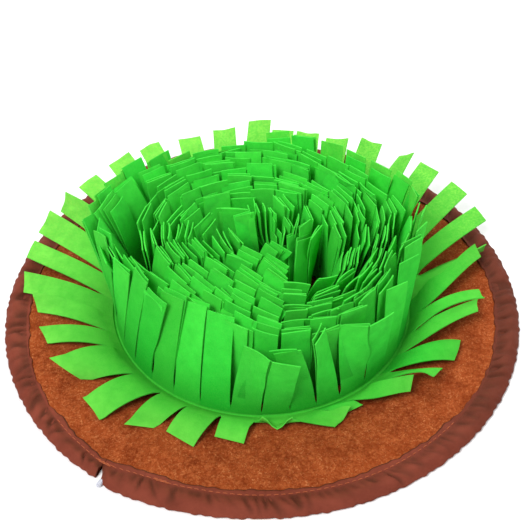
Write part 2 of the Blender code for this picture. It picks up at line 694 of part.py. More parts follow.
def make_band(name, seam_radius, outer_half, outer_places, inner_half):
    """A band of fringe: a narrow backing round its seam, with a row of fingers on each side."""
    mesh = bmesh.new()
    thin = FELT_THICKNESS / 2.0
    outside = seam_radius + HALF_SPREAD
    inside = seam_radius - HALF_SPREAD
    outer_wall, outer_middle = add_half(mesh, outer_half, outer_places, outside + thin, outside - thin)
    inner_middle, inner_wall = add_half(mesh, inner_half, STANDING_PLACES, inside + thin, inside - thin)
    outer_floor = line_round(mesh, outer_half, outside + thin, BACKING_BOTTOM)
    inner_floor = line_round(mesh, inner_half, inside - thin, BACKING_BOTTOM)
    bridge(mesh, outer_floor, outer_wall)
    bridge(mesh, inner_floor, inner_wall)
    outer_ends, inner_ends = ends_of(outer_half), ends_of(inner_half)
    zip_rings(mesh, outer_middle, outer_ends, inner_middle, inner_ends)
    zip_rings(mesh, outer_floor, outer_ends, inner_floor, inner_ends)
    return new_object(name, mesh, GREEN_FELT, 0.85)


def uneven_slits(count, chance):
    pitch = 360.0 / count
    return [SLITS_START + k * pitch + (chance.uniform(-SLIT_SWING, SLIT_SWING) * pitch if k else 0.0)
            for k in range(count)]


def make_fringe():
    chance = random.Random(SEED)
    for number, (name, seam_radius, count) in enumerate(BANDS):
        outside = seam_radius + HALF_SPREAD
        inside = seam_radius - HALF_SPREAD
        if number == 0:
            wall = wall_fingers(inside)
            tops = [finger.frame(1.0) for finger in wall]
            outline = inner_outline([TopEdge(middle, side, finger.half)
                                     for finger, (middle, side, _) in zip(wall, tops)])
            make_band(name, seam_radius, skirt_fingers(outside), SPLAYED_PLACES, wall)
            continue
        outer_slits = uneven_slits(count, chance)
        inner_slits = outer_slits if number >= SHARED_SLITS_FROM else uneven_slits(count, chance)
        layer = 2 * number - 1
        outer_half, outline = inner_fingers(outside, outer_slits, layer, outline, chance)
        inner_half, outline = inner_fingers(inside, inner_slits, layer + 1, outline, chance)
        make_band(name, seam_radius, outer_half, STANDING_PLACES, inner_half)


def main():
    for piece in list(bpy.data.objects):
        bpy.data.objects.remove(piece, do_unlink=True)
    make_grip()
    make_base()
    make_casing()
    make_cord_end()
    make_fringe()


main()
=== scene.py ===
"""Dresses the snuffle mat: felt, gathered casing, stitching, anti-slip disc and 286 felt fingers.

Metres, +Z up, the origin on the floor under the mat's centre. Azimuths are in degrees,
anticlockwise from +X. The first section's sizes are the solids' own. The three tables of
fingers are the solids' but for a few lines. The inner bands' slits and leans are drawn anew.
"""
import math
import random
from dataclasses import dataclass, replace

import bpy
import bmesh
import numpy as np
from mathutils import Matrix, Vector


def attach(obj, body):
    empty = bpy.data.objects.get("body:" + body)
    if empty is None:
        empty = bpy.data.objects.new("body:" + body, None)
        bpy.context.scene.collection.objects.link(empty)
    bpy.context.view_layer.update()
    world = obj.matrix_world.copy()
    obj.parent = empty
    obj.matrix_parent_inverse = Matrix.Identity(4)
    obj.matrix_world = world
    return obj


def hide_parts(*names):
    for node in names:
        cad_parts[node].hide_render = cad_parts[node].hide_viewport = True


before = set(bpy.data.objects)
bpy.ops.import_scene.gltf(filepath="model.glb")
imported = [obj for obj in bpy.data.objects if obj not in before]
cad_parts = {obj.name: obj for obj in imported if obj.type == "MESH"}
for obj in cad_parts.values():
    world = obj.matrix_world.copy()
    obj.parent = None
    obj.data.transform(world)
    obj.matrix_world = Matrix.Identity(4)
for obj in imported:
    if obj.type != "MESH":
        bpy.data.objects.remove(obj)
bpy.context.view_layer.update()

# ---- sizes shared with the solids
RIM_RADIUS = 0.250
CLEARANCE = 0.0003
GRIP_RADIUS = 0.165
GRIP_THICKNESS = 0.0010
BASE_RADIUS = 0.2353
BASE_THICKNESS = 0.0025
BASE_BOTTOM = GRIP_THICKNESS + CLEARANCE
BASE_TOP = BASE_BOTTOM + BASE_THICKNESS
WRINKLE_HEIGHT = 0.0026
WRINKLES = ((5, 0.7, 0.27), (9, 2.1, 0.23))   # waves of (count, phase, share of the height)
WRINKLES_FROM = 0.150
WRINKLES_TO = 0.2235
WRINKLES_START = 0.03         # over this width they rise,
WRINKLES_STOP = 0.025         # and over this width they die away
NOTCH_AZIMUTH = 235.5
NOTCH_HALF_GAP = 0.0034
NOTCH_INNER_HALF_GAP = 0.0003
NOTCH_SLANT = 1.2             # degrees that its inner end is turned on from its mouth
TUNNEL_CENTRE = (0.2432, 0.0036)

BACKING_BOTTOM = BASE_TOP + CLEARANCE
BACKING_TOP = BACKING_BOTTOM + 0.0028
SLIT_WIDTH = 0.0009
FINGER_LENGTH = 0.088
STEPS_ALONG_FINGER = 24
PLACES = [k / STEPS_ALONG_FINGER for k in range(STEPS_ALONG_FINGER + 1)]
LOWEST_FRINGE = BASE_TOP + WRINKLE_HEIGHT + CLEARANCE
MOST_TWIST = 24.0             # from an inner finger's root to its top

# ---- sizes of the finer fringe
FELT_THICKNESS = 0.0011
HALF_SPREAD = 0.0019          # from a band's seam to the middle of each of its halves
COLUMNS = 7                   # points across a finger
CLEAR_OF_NEIGHBOUR = 0.0014   # at this depth one finger may pass in front of the next
SHINGLE = 7.0                 # how far an inner finger is rolled, so that it laps the next
MARGIN = 0.009                # the felt between a seam and its slits
WALL_MARGIN = 0.005           # the same for the outermost band's standing half
MARGIN_SHARES = (0.6, 1.4)    # how both vary
CLOSING = 0.005               # over this length a slit opens
FRINGE_SEED = 23
SLIT_SWING = 0.1              # how unevenly the inner bands are slit, as a share of the pitch
TURN_SWING = 6.0              # how unevenly their fingers stand, in degrees and metres
SIDEWAYS_SWING = 0.0030
REACH_SWING = 0.0040
LENGTH_SWING = 0.045          # as a share
BOWS = (0.3, 0.7)             # how much more a finger leans towards its top, least and most
WALL_BOW = 0.35
MOST_LEAN = 0.93              # how far sideways a finger may reach, as a share of its length,
MOST_SLOPE = 0.96             # and how far the part that leans most may
SPLAY_ARM = 0.38              # how strongly a splayed finger keeps its first direction
LOOKS_SEED = 77
CUP_SWING = 3.6               # how unevenly the fingers are cupped, per metre,
WAVE_SWING = 0.0008           # and the splayed tips waved
TOP_CURL = 0.0024             # how much the standing fingers' tops bend over
WALL_CURL = 0.4               # the same for the outermost band, as a share

BANDS = (
    # name,         seam radius, fingers
    ("fringe_ring_1", 0.144, 35),
    ("fringe_ring_2", 0.126, 30),
    ("fringe_ring_3", 0.105, 25),
    ("fringe_ring_4", 0.085, 20),
    ("fringe_ring_5", 0.065, 16),
    ("fringe_ring_6", 0.045, 11),
    ("fringe_ring_7", 0.025, 6),
)
SLITS_START = -84.0
SHARED_SLITS_FROM = 5

# Tops of the standing layers by the azimuth of their roots. Layer 0 is the outermost band's
# standing half and layer 12 the smallest band's inner half. Layer 0's top is at its reach and
# layer 12's at its place. First, second and third say how much of the way those layers are.
# Before and behind say so for the two layers on either side of the hollow round the centre.
PILE_CENTRE = Vector((0.004, 0.006, 0.0))
LAST_LAYER = 12
PILE_STEP = 24.0
BEFORE_HOLLOW = 8             # the last layer in front of the hollow
PILE = (
    # azimuth, outer reach, first, second, third, before, behind, innermost x, innermost y
    (-84, 0.142, 0.08, 0.155, 0.21, 0.47, 0.88, 0.014, 0.004),
    (-60, 0.141, 0.075, 0.145, 0.19, 0.43, 0.90, 0.016, 0.010),
    (-36, 0.137, 0.065, 0.13, 0.175, 0.41, 0.87, 0.020, 0.014),
    (-12, 0.140, 0.085, 0.16, 0.22, 0.55, 0.80, 0.026, 0.014),
    (12, 0.151, 0.09, 0.18, 0.27, 0.67, 0.78, 0.026, 0.018),
    (36, 0.158, 0.22, 0.27, 0.33, 0.68, 0.79, 0.022, 0.024),
    (60, 0.156, 0.23, 0.29, 0.35, 0.71, 0.86, 0.012, 0.032),
    (84, 0.150, 0.12, 0.21, 0.29, 0.74, 0.91, 0.000, 0.036),
    (108, 0.146, 0.08, 0.16, 0.25, 0.73, 0.91, -0.012, 0.036),
    (132, 0.152, 0.07, 0.14, 0.24, 0.70, 0.86, -0.022, 0.028),
    (156, 0.171, 0.05, 0.11, 0.38, 0.70, 0.78, -0.028, 0.014),
    (180, 0.160, 0.05, 0.10, 0.38, 0.66, 0.75, -0.026, 0.002),
    (204, 0.130, 0.08, 0.16, 0.34, 0.68, 0.77, -0.018, -0.008),
    (228, 0.113, 0.09, 0.18, 0.27, 0.68, 0.77, 0.002, -0.016),
    (252, 0.120, 0.09, 0.18, 0.27, 0.68, 0.77, 0.020, -0.020),
    (276, 0.140, 0.10, 0.20, 0.28, 0.68, 0.77, 0.030, -0.024),
)
LAYER_SPACE = 0.0054
MOST_PUSH = 0.0015            # how far a finger is moved in to clear the layer round it
BLADE_SPREAD = 0.002          # how much further apart the edge-on layers stand, from side to side
BLADES_MIDDLE = 10.5          # the place among the layers that they spread from
BLADES = ((-70.0, 20.0), (135.0, 35.0))         # where those stand, and over how many degrees
PLY_GAP = 0.0028              # each finger's second ply stands this far behind its top
PLY_FROM = 0.25               # and parts from it at this share of its length
PLY_GAPS = (0.5, 1.6)         # how that gap varies, as a share
PLY_SWAY = 0.004              # how far to one side the ply may stand
PLY_STRETCH = (-0.06, 0.035)  # how much shorter or longer it may be, as a share
PLY_TURN = 6.0                # and how far it may be turned
SINGLE_SHARE = 0.22           # of the fingers have no second ply

# The outermost band's standing half, one finger to a line.
WALL = (
    # slit, top azimuth, top reach, turn, length
    (184, 180, 0.151, 34, 0.094),
    (194, 199, 0.132, 20, 0.090),
    (203.5, 209.5, 0.122, 4, 0.098),
    (213, 221, 0.122, 2, 0.093),
    (224.5, 226, 0.112, 6, 0.096),
    (235, 236, 0.107, -4, 0.096),
    (246.5, 251, 0.110, -14, 0.096),
    (258, 268.3, 0.145, -30, 0.084),
    (269.5, 277.4, 0.154, -15, 0.082),
    (280, 278.5, 0.142, -10, 0.084),
    (290, 291.5, 0.136, 42, 0.086),
    (299, 306, 0.138, -40, 0.084),
    (311, 314.5, 0.148, -10, 0.084),
    (322, 331, 0.138, -26, 0.086),
    (332, 344, 0.138, -30, 0.093),
    (343, 354, 0.142, -36, 0.090),
    (354, 4, 0.150, -36, 0.088),
    (364, 13, 0.160, -34, 0.086),
    (375, 24, 0.162, -22, 0.086),
    (385, 31, 0.168, 8, 0.088),
    (395, 40, 0.157, 12, 0.088),
    (405, 51, 0.153, -4, 0.088),
    (415, 62, 0.155, 0, 0.088),
    (425, 73, 0.156, -6, 0.088),
    (435, 83.5, 0.158, 4, 0.088),
    (445, 94, 0.139, 6, 0.084),
    (455, 104, 0.137, 0, 0.084),
    (465, 114, 0.139, -8, 0.084),
    (475, 124, 0.144, -6, 0.086),
    (485, 131, 0.158, -4, 0.086),
    (495, 140, 0.168, -10, 0.088),
    (505, 148, 0.171, -14, 0.088),
    (515, 156, 0.172, -6, 0.088),
    (525, 161, 0.172, 4, 0.090),
    (534.5, 168, 0.170, 4, 0.090),
)

# The outermost band's splayed half.
SKIRT = (
    # slit, tip azimuth, tip reach, tip height, rise, fall, turn, roll
    (169, 164.4, 0.242, 0.020, 30, 5, 8, 0),
    (179, 174.5, 0.236, 0.014, 30, -5, 8, 26),
    (188, 181, 0.221, 0.012, 35, -10, 20, 22),
    (197, 192, 0.213, 0.008, 40, -20, 20, 0),
    (206.5, 207, 0.204, 0.008, 50, -35, 20, 34),
    (220.5, 221.3, 0.205, 0.006, 50, -35, -6, 0),
    (233, 235, 0.192, 0.006, 50, -35, 30, 20),
    (243.8, 246.5, 0.184, 0.006, 50, -40, -12, 0),
    (256, 260, 0.174, 0.006, 50, -40, -8, 0),
    (267, 274.5, 0.158, 0.014, 20, 50, -6, 0),
    (278, 295.4, 0.166, 0.010, 25, 0, 20, -14),
    (288, 299.6, 0.160, 0.006, 60, -55, 0, -10),
    (297.5, 319.6, 0.178, 0.024, 40, -5, 24, -45),
    (308, 327.2, 0.192, 0.019, 42, -12, -14, 34),
    (318.5, 339, 0.196, 0.010, 45, -25, -4, 0),
    (329, 354.6, 0.208, 0.022, 46, -10, -8, -10),
    (339, 358.2, 0.215, 0.019, 58, -18, 4, 30),
    (349, 13.9, 0.221, 0.028, 44, -6, 10, -32),
    (359, 14.8, 0.234, 0.021, 32, 0, -10, 58),
    (369, 23.5, 0.245, 0.032, 38, 5, -6, 0),
    (378.5, 32.5, 0.245, 0.037, 40, 10, -2, 0),
    (388.5, 42.3, 0.242, 0.040, 40, 10, 0, 0),
    (398.5, 49, 0.238, 0.043, 40, 10, 2, 40),
    (408.5, 59, 0.234, 0.045, 42, 15, -2, 0),
    (418.5, 68.2, 0.226, 0.043, 42, 15, 10, 10),
    (428.5, 76.5, 0.224, 0.044, 42, 15, 0, 0),
    (438.5, 83.5, 0.222, 0.046, 42, 15, 0, 0),
    (448, 90, 0.227, 0.055, 45, 22, 10, 0),
    (458, 100.1, 0.222, 0.050, 45, 20, 6, 0),
    (468, 110, 0.224, 0.045, 42, 15, -20, 10),
    (478, 121, 0.231, 0.045, 42, 15, 10, 0),
    (488, 130.5, 0.231, 0.045, 42, 15, -6, 20),
    (498.5, 141, 0.233, 0.040, 40, 12, 2, 0),
    (509, 149, 0.238, 0.033, 36, 5, 6, 62),
    (518.5, 157, 0.240, 0.030, 34, 8, 0, 30),
)

# How far the most creased splayed fingers' tips rise and fall across their width, by the
# whole degree that each finger starts at.
WAVED = {267: 0.0045, 278: 0.0030, 298: 0.0020, 308: -0.0030, 329: 0.0025, 359: -0.0020}


# ---- small geometry
UP = Vector((0.0, 0.0, 1.0))


def around(azimuth, radius=1.0, height=0.0):
    angle = math.radians(azimuth)
    return Vector((radius * math.cos(angle), radius * math.sin(angle), height))


def tangent_at(azimuth):
    return around(azimuth + 90.0)


def swung(vector, degrees):
    """The vector turned about the vertical."""
    angle = math.radians(degrees)
    cosine, sine = math.cos(angle), math.sin(angle)
    x, y, z = vector
    return Vector((cosine * x - sine * y, sine * x + cosine * y, z))


def clamp(value, low, high):
    return min(max(value, low), high)


def smooth(t):
    """From 0 to 1 as t is, with a soft start and end."""
    t = clamp(t, 0.0, 1.0)
    return t * t * (3.0 - 2.0 * t)


def steps(t):
    """smooth() for an array."""
    t = np.clip(t, 0.0, 1.0)
    return t * t * (3.0 - 2.0 * t)


def swing(chance, most):
    return chance.uniform(-most, most)


def add_object(name, data):
    made = bpy.data.objects.new(name, data)
    bpy.context.scene.collection.objects.link(made)
    return made


def ring_points(azimuth, radius, height):
    """Points round the mat, for arrays of azimuths in radians and of radii or heights."""
    return np.stack([radius * np.cos(azimuth), radius * np.sin(azimuth), height], axis=1)


def ripple(azimuth, waves):
    """A sum of sines round the mat; each wave is (count, phase, height)."""
    return sum(height * np.sin(count * azimuth + phase) for count, phase, height in waves)


class Build:
    """The points and faces of a piece, gathered before it becomes an object."""

    def __init__(self):
        self.points = []
        self.faces = []
        self.slots = []
        self.shades = []

    def add_points(self, points, shade=(0.5, 0.5, 0.0)):
        start = len(self.points)
        self.points.extend(points)
        self.shades.extend([shade] * len(points))
        return list(range(start, len(self.points)))

    def add_face(self, *corners, slot=0):
        self.faces.append(corners)
        self.slots.append(slot)

    def join_rows(self, first, second, closed=False, slot=0):
        """Quads between two rows of the same count."""
        count = len(first)
        for k in range(count if closed else count - 1):
            n = (k + 1) % count
            self.add_face(first[k], first[n], second[n], second[k], slot=slot)

    def join_rings(self, rings, capped=False):
        """Quads from each closed ring to the next, and a face over the first and the last."""
        for first, second in zip(rings, rings[1:]):
            self.join_rows(first, second, closed=True)
        if capped:
            self.add_face(*rings[0])
            self.add_face(*rings[-1])

    def add_fan(self, ring, height):
        """Triangles from a closed ring to a point on the mat's axis."""
        centre = self.add_points([(0.0, 0.0, height)])[0]
        for k, corner in enumerate(ring):
            self.add_face(centre, corner, ring[(k + 1) % len(ring)])

    def finish(self, name, materials, sharp):
        """Make the object, with its faces turned outwards and its shade kept as an attribute."""
        mesh = bpy.data.meshes.new(name)
        mesh.from_pydata([tuple(point) for point in self.points], [], self.faces)
        shades = mesh.attributes.new("shade", "FLOAT_COLOR", "POINT")
        shades.data.foreach_set("color", [x for shade in self.shades for x in (*shade, 1.0)])
        for material in materials:
            mesh.materials.append(material)
        mesh.polygons.foreach_set("material_index", self.slots)
        builder = bmesh.new()
        builder.from_mesh(mesh)
        bmesh.ops.recalc_face_normals(builder, faces=builder.faces)
        builder.to_mesh(mesh)
        builder.free()
        mesh.polygons.foreach_set("use_smooth", [True] * len(mesh.polygons))
        if sharp is not None:
            mesh.set_sharp_from_angle(angle=math.radians(sharp))
        mesh.update()
        piece = add_object(name, mesh)
        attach(piece, "root")
        return piece


# ---- materials
class Shader:
    """A material's nodes: its Principled shader, and short ways to add to them."""

    def __init__(self, name, colour, roughness):
        self.material = bpy.data.materials.new(name)
        self.material.use_nodes = True
        self.tree = self.material.node_tree
        self.surface = self.tree.nodes["Principled BSDF"]
        self.set(Base_Color=colour, Roughness=roughness)
        self.place = self.add("ShaderNodeTexCoord").outputs["Object"]

    def put(self, value, socket):
        """Link an output, or set a plain value."""
        if isinstance(value, bpy.types.NodeSocket):
            self.tree.links.new(value, socket)
        else:
            socket.default_value = (*value, 1.0) if socket.type == "RGBA" else value

    def set(self, **inputs):
        """Put values into the Principled shader."""
        for name, value in inputs.items():
            self.put(value, self.surface.inputs[name.replace("_", " ")])

    def add(self, kind, **inputs):
        node = self.tree.nodes.new(kind)
        for name, value in inputs.items():
            self.put(value, node.inputs[name.replace("_", " ")])
        return node

    def noise(self, scale, detail=3.0, roughness=0.5, distortion=0.0, at=None):
        node = self.add("ShaderNodeTexNoise", Vector=at or self.place, Scale=scale, Detail=detail,
                        Roughness=roughness, Distortion=distortion)
        return node.outputs["Fac"]

    def patches(self, scale, detail, roughness, low, high):
        """Noise whose values from low to high are spread over 0 to 1."""
        return self.remap(self.noise(scale, detail, roughness), low, high)

    def stretched(self, turn, scale):
        """The place, turned and squeezed, so that a texture read there has long marks."""
        node = self.add("ShaderNodeMapping", Vector=self.place, Rotation=turn, Scale=scale)
        return node.outputs["Vector"]

    def math(self, operation, *values):
        node = self.tree.nodes.new("ShaderNodeMath")
        node.operation = operation
        for value, socket in zip(values, node.inputs):
            self.put(value, socket)
        return node.outputs[0]

    def remap(self, value, low, high, to_low=0.0, to_high=1.0):
        node = self.add("ShaderNodeMapRange", Value=value, From_Min=low, From_Max=high,
                        To_Min=to_low, To_Max=to_high)
        return node.outputs["Result"]

    def weave(self, along, across, pitch):
        """The ups and downs of a plain weave, from -1 to 1."""
        return self.math("MULTIPLY", *(
            self.math("SINE", self.math("MULTIPLY", place, math.tau / pitch))
            for place in (along, across)))

    def mix(self, share, first, second):
        node = self.tree.nodes.new("ShaderNodeMix")
        node.data_type = "RGBA"
        self.put(share, node.inputs["Factor"])
        for name, value in (("A", first), ("B", second)):
            self.put(value, next(s for s in node.inputs if s.name == name and s.type == "RGBA"))
        return next(s for s in node.outputs if s.type == "RGBA")

    def over(self, body, *layers):
        """The body with colours laid over it, each by a share times a weight."""
        for share, weight, colour in layers:
            body = self.mix(self.math("MULTIPLY", share, weight), body, colour)
        return body

    def shade(self):
        """The piece's own shade attribute, as three numbers."""
        node = self.tree.nodes.new("ShaderNodeAttribute")
        node.attribute_name = "shade"
        return self.add("ShaderNodeSeparateColor", Color=node.outputs["Color"]).outputs

    def bump(self, height, distance, strength=1.0):
        """Add a bump to those that are there."""
        before = self.surface.inputs["Normal"].links
        node = self.add("ShaderNodeBump", Height=height, Distance=distance, Strength=strength)
        if before:
            self.put(before[0].from_socket, node.inputs["Normal"])
        self.put(node.outputs["Normal"], self.surface.inputs["Normal"])


def green_felt(name, dark, light, warm, fibres):
    """Smooth, close felt. Its shade says how light a finger is, how warm, and how much painted
    back-light shows through it in pale patches. Its lightness and warmth hold painted light and
    shade as well as the felt's own tone.

    Fibres is how strongly its single fibres show.
    """
    felt = Shader(name, light, 0.9)
    tone, warmth, painted_backlight = felt.shade()
    body = felt.mix(warmth, felt.mix(tone, dark, light), warm)
    # The first layer is painted back-light, pale patches where light comes through the felt; the
    # others are the felt's own blotches and fibres.
    felt.set(Base_Color=felt.over(
        body,
        (felt.patches(420.0, 5.0, 0.75, 0.42, 0.60), painted_backlight, (0.34, 0.74, 0.10)),
        (felt.patches(85.0, 4.0, 0.6, 0.3, 0.7), 0.35, dark),
        (felt.patches(950.0, 4.0, 0.7, 0.35, 0.75), fibres, warm)))
    felt.bump(felt.noise(1500.0, 3.0, 0.7), 0.00035, 0.45)
    felt.bump(felt.noise(260.0, 3.0, 0.6), 0.0006, 0.35)
    felt.set(Specular_IOR_Level=0.03)
    felt.set(Subsurface_Weight=0.12, Subsurface_Radius=(0.35, 1.0, 0.25), Subsurface_Scale=0.0018)
    return felt.material


def brown_felt(name):
    """Needle felt of mixed fibres: a dark ground with clouds of light fibres lying on it."""
    felt = Shader(name, (0.30, 0.07, 0.018), 0.95)
    blotch = felt.patches(13.0, 4.0, 0.6, 0.36, 0.64)
    cloud = felt.patches(52.0, 5.0, 0.65, 0.36, 0.64)
    tuft = felt.patches(150.0, 4.0, 0.62, 0.40, 0.64)
    grain = felt.patches(430.0, 5.0, 0.7, 0.46, 0.68)
    pit = felt.patches(430.0, 3.0, 0.6, 0.50, 0.30)
    flecks = felt.remap(felt.noise(300.0, 3.0, 0.6, 2.2), 0.56, 0.66)
    felt.set(Base_Color=felt.over(
        felt.mix(blotch, (0.165, 0.024, 0.0045), (0.250, 0.042, 0.0085)),
        (cloud, 0.7, (0.32, 0.060, 0.014)),
        (tuft, 0.30, (0.43, 0.098, 0.026)),
        (grain, felt.remap(tuft, 0.0, 1.0, 0.15, 0.60), (0.56, 0.155, 0.048)),
        (pit, 0.38, (0.105, 0.015, 0.003)),
        (flecks, felt.remap(cloud, 0.0, 1.0, 0.25, 0.75), (0.66, 0.225, 0.080))))
    felt.bump(felt.noise(1400.0, 4.0, 0.7), 0.0005, 0.6)
    felt.bump(flecks, 0.0003, 0.5)
    felt.bump(tuft, 0.0006, 0.5)
    felt.set(Specular_IOR_Level=0.05)
    return felt.material


def casing_cloth(name):
    """Plain-woven polyester. Its shade holds the lengths along and across it, and its painted
    shade.
    """
    cloth = Shader(name, (0.22, 0.056, 0.034), 0.62)
    along, across, dark = cloth.shade()
    blotch = cloth.patches(42.0, 4.0, 0.6, 0.3, 0.7)
    body = cloth.mix(blotch, (0.152, 0.028, 0.0140), (0.226, 0.046, 0.0245))
    # Painted shade: the shade's darkness turns the cloth a deep brown.
    body = cloth.mix(dark, body, (0.062, 0.015, 0.006))
    fibre = cloth.noise(1300.0, 3.0, 0.6)
    cloth.set(Base_Color=cloth.over(body, (fibre, 0.2, (0.30, 0.09, 0.06))))
    cloth.bump(cloth.weave(along, across, 0.00045), 0.00008, 0.5)
    cloth.bump(cloth.noise(320.0, 4.0, 0.6), 0.0004, 0.35)
    cloth.set(Specular_IOR_Level=0.08)
    return cloth.material


def thread(name, colour, deep):
    """Twisted sewing thread."""
    twist = Shader(name, colour, 0.55)
    strands = twist.noise(1.0, 2.0, at=twist.stretched((0.0, 0.0, 0.6), (2600.0, 900.0, 2600.0)))
    twist.set(Base_Color=twist.mix(twist.remap(strands, 0.35, 0.65), deep, colour))
    twist.bump(strands, 0.0002, 0.6)
    twist.set(Sheen_Weight=0.1)
    return twist.material


def braid(name):
    """Braided polyester cord: two sets of strands cross round it."""
    cord = Shader(name, (0.50, 0.51, 0.58), 0.5)
    waves = []
    for turn, squeeze in ((0.3, 1.6), (-1.2, -1.6)):
        place = cord.stretched((0.0, 0.0, turn), (1.0, 1.0, squeeze))
        wave = cord.add("ShaderNodeTexWave", Vector=place, Scale=230.0, Distortion=0.4)
        waves.append(wave.outputs["Fac"])
    strands = cord.math("MAXIMUM", *waves)
    cord.set(Base_Color=cord.mix(strands, (0.25, 0.26, 0.33), (0.62, 0.63, 0.70)))
    cord.bump(strands, 0.0003, 0.7)
    return cord.material


def grip_cloth(name):
    """Grey-blue woven cloth with small raised dots in staggered rows."""
    cloth = Shader(name, (0.075, 0.09, 0.12), 0.9)
    x, y, _ = cloth.add("ShaderNodeSeparateXYZ", Vector=cloth.place).outputs
    pitch = 0.0065
    radius = 0.0012
    rows = []
    for offset in (0.0, 0.5):
        squares = []
        for place in (x, y):
            cell = cloth.math("ADD", cloth.math("MULTIPLY", place, 1.0 / pitch), offset)
            side = cloth.math("SUBTRACT", cloth.math("FRACT", cell), 0.5)
            squares.append(cloth.math("MULTIPLY", side, side))
        distance = cloth.math("SQRT", cloth.math("ADD", *squares))
        rows.append(cloth.remap(distance, radius / pitch * 1.15, radius / pitch * 0.85))
    dots = cloth.math("MAXIMUM", *rows)
    weave = cloth.weave(x, y, 0.0010)
    ground = cloth.mix(cloth.remap(weave, -1.0, 1.0), (0.052, 0.066, 0.092), (0.092, 0.108, 0.142))
    ground = cloth.over(ground, (cloth.noise(30.0, 3.0), 0.4, (0.06, 0.072, 0.10)))
    cloth.set(Base_Color=cloth.mix(dots, ground, (0.17, 0.19, 0.23)))
    cloth.bump(weave, 0.0001, 0.5)
    cloth.bump(dots, 0.0004, 0.8)
    return cloth.material


# ---- the felt base
FELT_SECTORS = 360
FINE_FROM = 0.144             # from here outwards the felt has finer rings
COARSE_STEP, FINE_STEP = 0.012, 0.0032
# Its finer ripples: waves of (count, phase, height), and a slower swell.
FELT_RIPPLE = ((17, 0.4, 0.00022), (29, 1.9, 0.00016), (41, 0.2, 0.0001))
FELT_SWELL = 0.00035
RIPPLES_STOP = 0.012          # the width over which both die away


def wrinkle(azimuth, radius):
    """Soft radial troughs in the felt outside the fringe, as in the solid."""
    wave = 0.5 + ripple(azimuth, WRINKLES)
    inside = steps((radius - WRINKLES_FROM) / WRINKLES_START)
    outside = steps((WRINKLES_TO - radius) / WRINKLES_STOP)
    return WRINKLE_HEIGHT * wave * inside * outside


def felt_height(azimuth, radius):
    """How far the base's top rises, with finer ripples than the solid's."""
    bent = np.sin(radius * 190.0 + 2.0 * np.sin(3 * azimuth))
    slow = FELT_SWELL * bent * np.sin(7 * azimuth + radius * 60.0)
    inside = steps((radius - WRINKLES_FROM) / WRINKLES_START)
    outside = steps((WRINKLES_TO - radius) / RIPPLES_STOP)
    fine = ripple(azimuth, FELT_RIPPLE)
    return wrinkle(azimuth, radius) + (np.abs(fine) + np.abs(slow)) * inside * outside


def make_felt():
    radii = [*np.arange(COARSE_STEP, FINE_FROM, COARSE_STEP),
             *np.arange(FINE_FROM, BASE_RADIUS, FINE_STEP), BASE_RADIUS]
    azimuth = np.arange(FELT_SECTORS) * (math.tau / FELT_SECTORS)
    build = Build()
    edges = []
    for level, rise in ((BASE_TOP, felt_height), (BASE_BOTTOM, wrinkle)):
        rings = []
        for radius in radii:
            points = ring_points(azimuth, radius, level + rise(azimuth, radius))
            rings.append(build.add_points(points.tolist()))
        build.add_fan(rings[0], level)
        build.join_rings(rings)
        edges.append(rings[-1])
    build.join_rings(edges)
    piece = build.finish("felt_ground", [brown_felt("needle felt")], sharp=40)
    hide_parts("felt_base")


# ---- the casing
# The section from the flange's inner edge over the tube to the floor and back under.
CASING_SECTION = (
    # radius, height, pucker
    # The first two lines, just above the felt, are painted dark all round: a painted shadow under
    # the flange's edge.
    (0.2227, 0.0044, 0.0),
    (0.2236, 0.0046, 0.0),
    (0.2239, 0.0052, 0.1),
    (0.2243, 0.0055, 0.2),
    (0.2258, 0.0056, 0.2),
    (0.2272, 0.0053, 0.1),
    (0.2284, 0.0051, 0.0),
    (0.2296, 0.0054, 0.5),
    (0.2314, 0.0059, 0.8),
    (0.2335, 0.0066, 1.0),
    (0.2358, 0.0074, 1.0),
    (0.2380, 0.0080, 1.0),
    (0.2400, 0.0083, 1.0),
    (0.2420, 0.0083, 1.0),
    (0.2438, 0.0078, 1.0),
    (0.2455, 0.0070, 0.9),
    (0.2470, 0.0061, 0.8),
    (0.2483, 0.0051, 0.6),
    (0.2493, 0.0040, 0.4),
    (0.2499, 0.0029, 0.2),
    (0.2498, 0.0018, 0.1),
    (0.2491, 0.0008, 0.0),
    (0.2478, 0.0002, 0.0),
    (0.2455, 0.0000, 0.0),
    (0.2400, 0.0000, 0.0),
    (0.2360, 0.0002, 0.0),
    (0.2358, 0.0041, 0.0),
)
SEAM_RADIUS = 0.2284
NOTCH_INNER_RADIUS = 0.2272   # where the notch's sides start to part
TUNNEL_LINE = 9               # the first line of the section that goes round the tunnel
# The rings that lead into the tunnel: how many degrees deep, and how much smaller.
TUNNEL_RINGS = ((0.0, 0.74), (1.5, 0.70), (4.0, 0.62))
# Ripples round the casing, of waves of (count, phase, height); the tube's are shares.
TUBE_RIPPLE = ((23, 2.0, 0.2), (31, 1.3, 0.45), (43, 0.4, 0.35))
EDGE_RIPPLE = ((151, 0.3, 0.00034), (197, 1.1, 0.00028), (83, 2.0, 0.00036))
FLANGE_RIPPLE = ((13, 0.0, 0.0007), (37, 1.0, 0.00055), (89, 2.2, 0.0004), (131, 0.7, 0.0003))
SWELL_HEIGHT = 0.0010         # what the tube's ripple and its gathers are worth in height,
GATHER_DEPTH = 0.0021
EDGE_SWELL = 0.0002           # and how far they draw its outer edge in
EDGE_GATHER = 0.0003
FLANGE_PAINTED_SHADOW = 0.0012          # so much of the section is painted dark, a painted shadow under the flange's edge
DARKEST_PAINTED_SHADE = 0.85         # how dark a full gather is painted, a painted shade in its crease, and the most that they reach
RIGHT_PAINTED_SHADE = 0.48            # painted shade: the casing is painted darker on its right, round this azimuth
RIGHT_AZIMUTH = -2.0
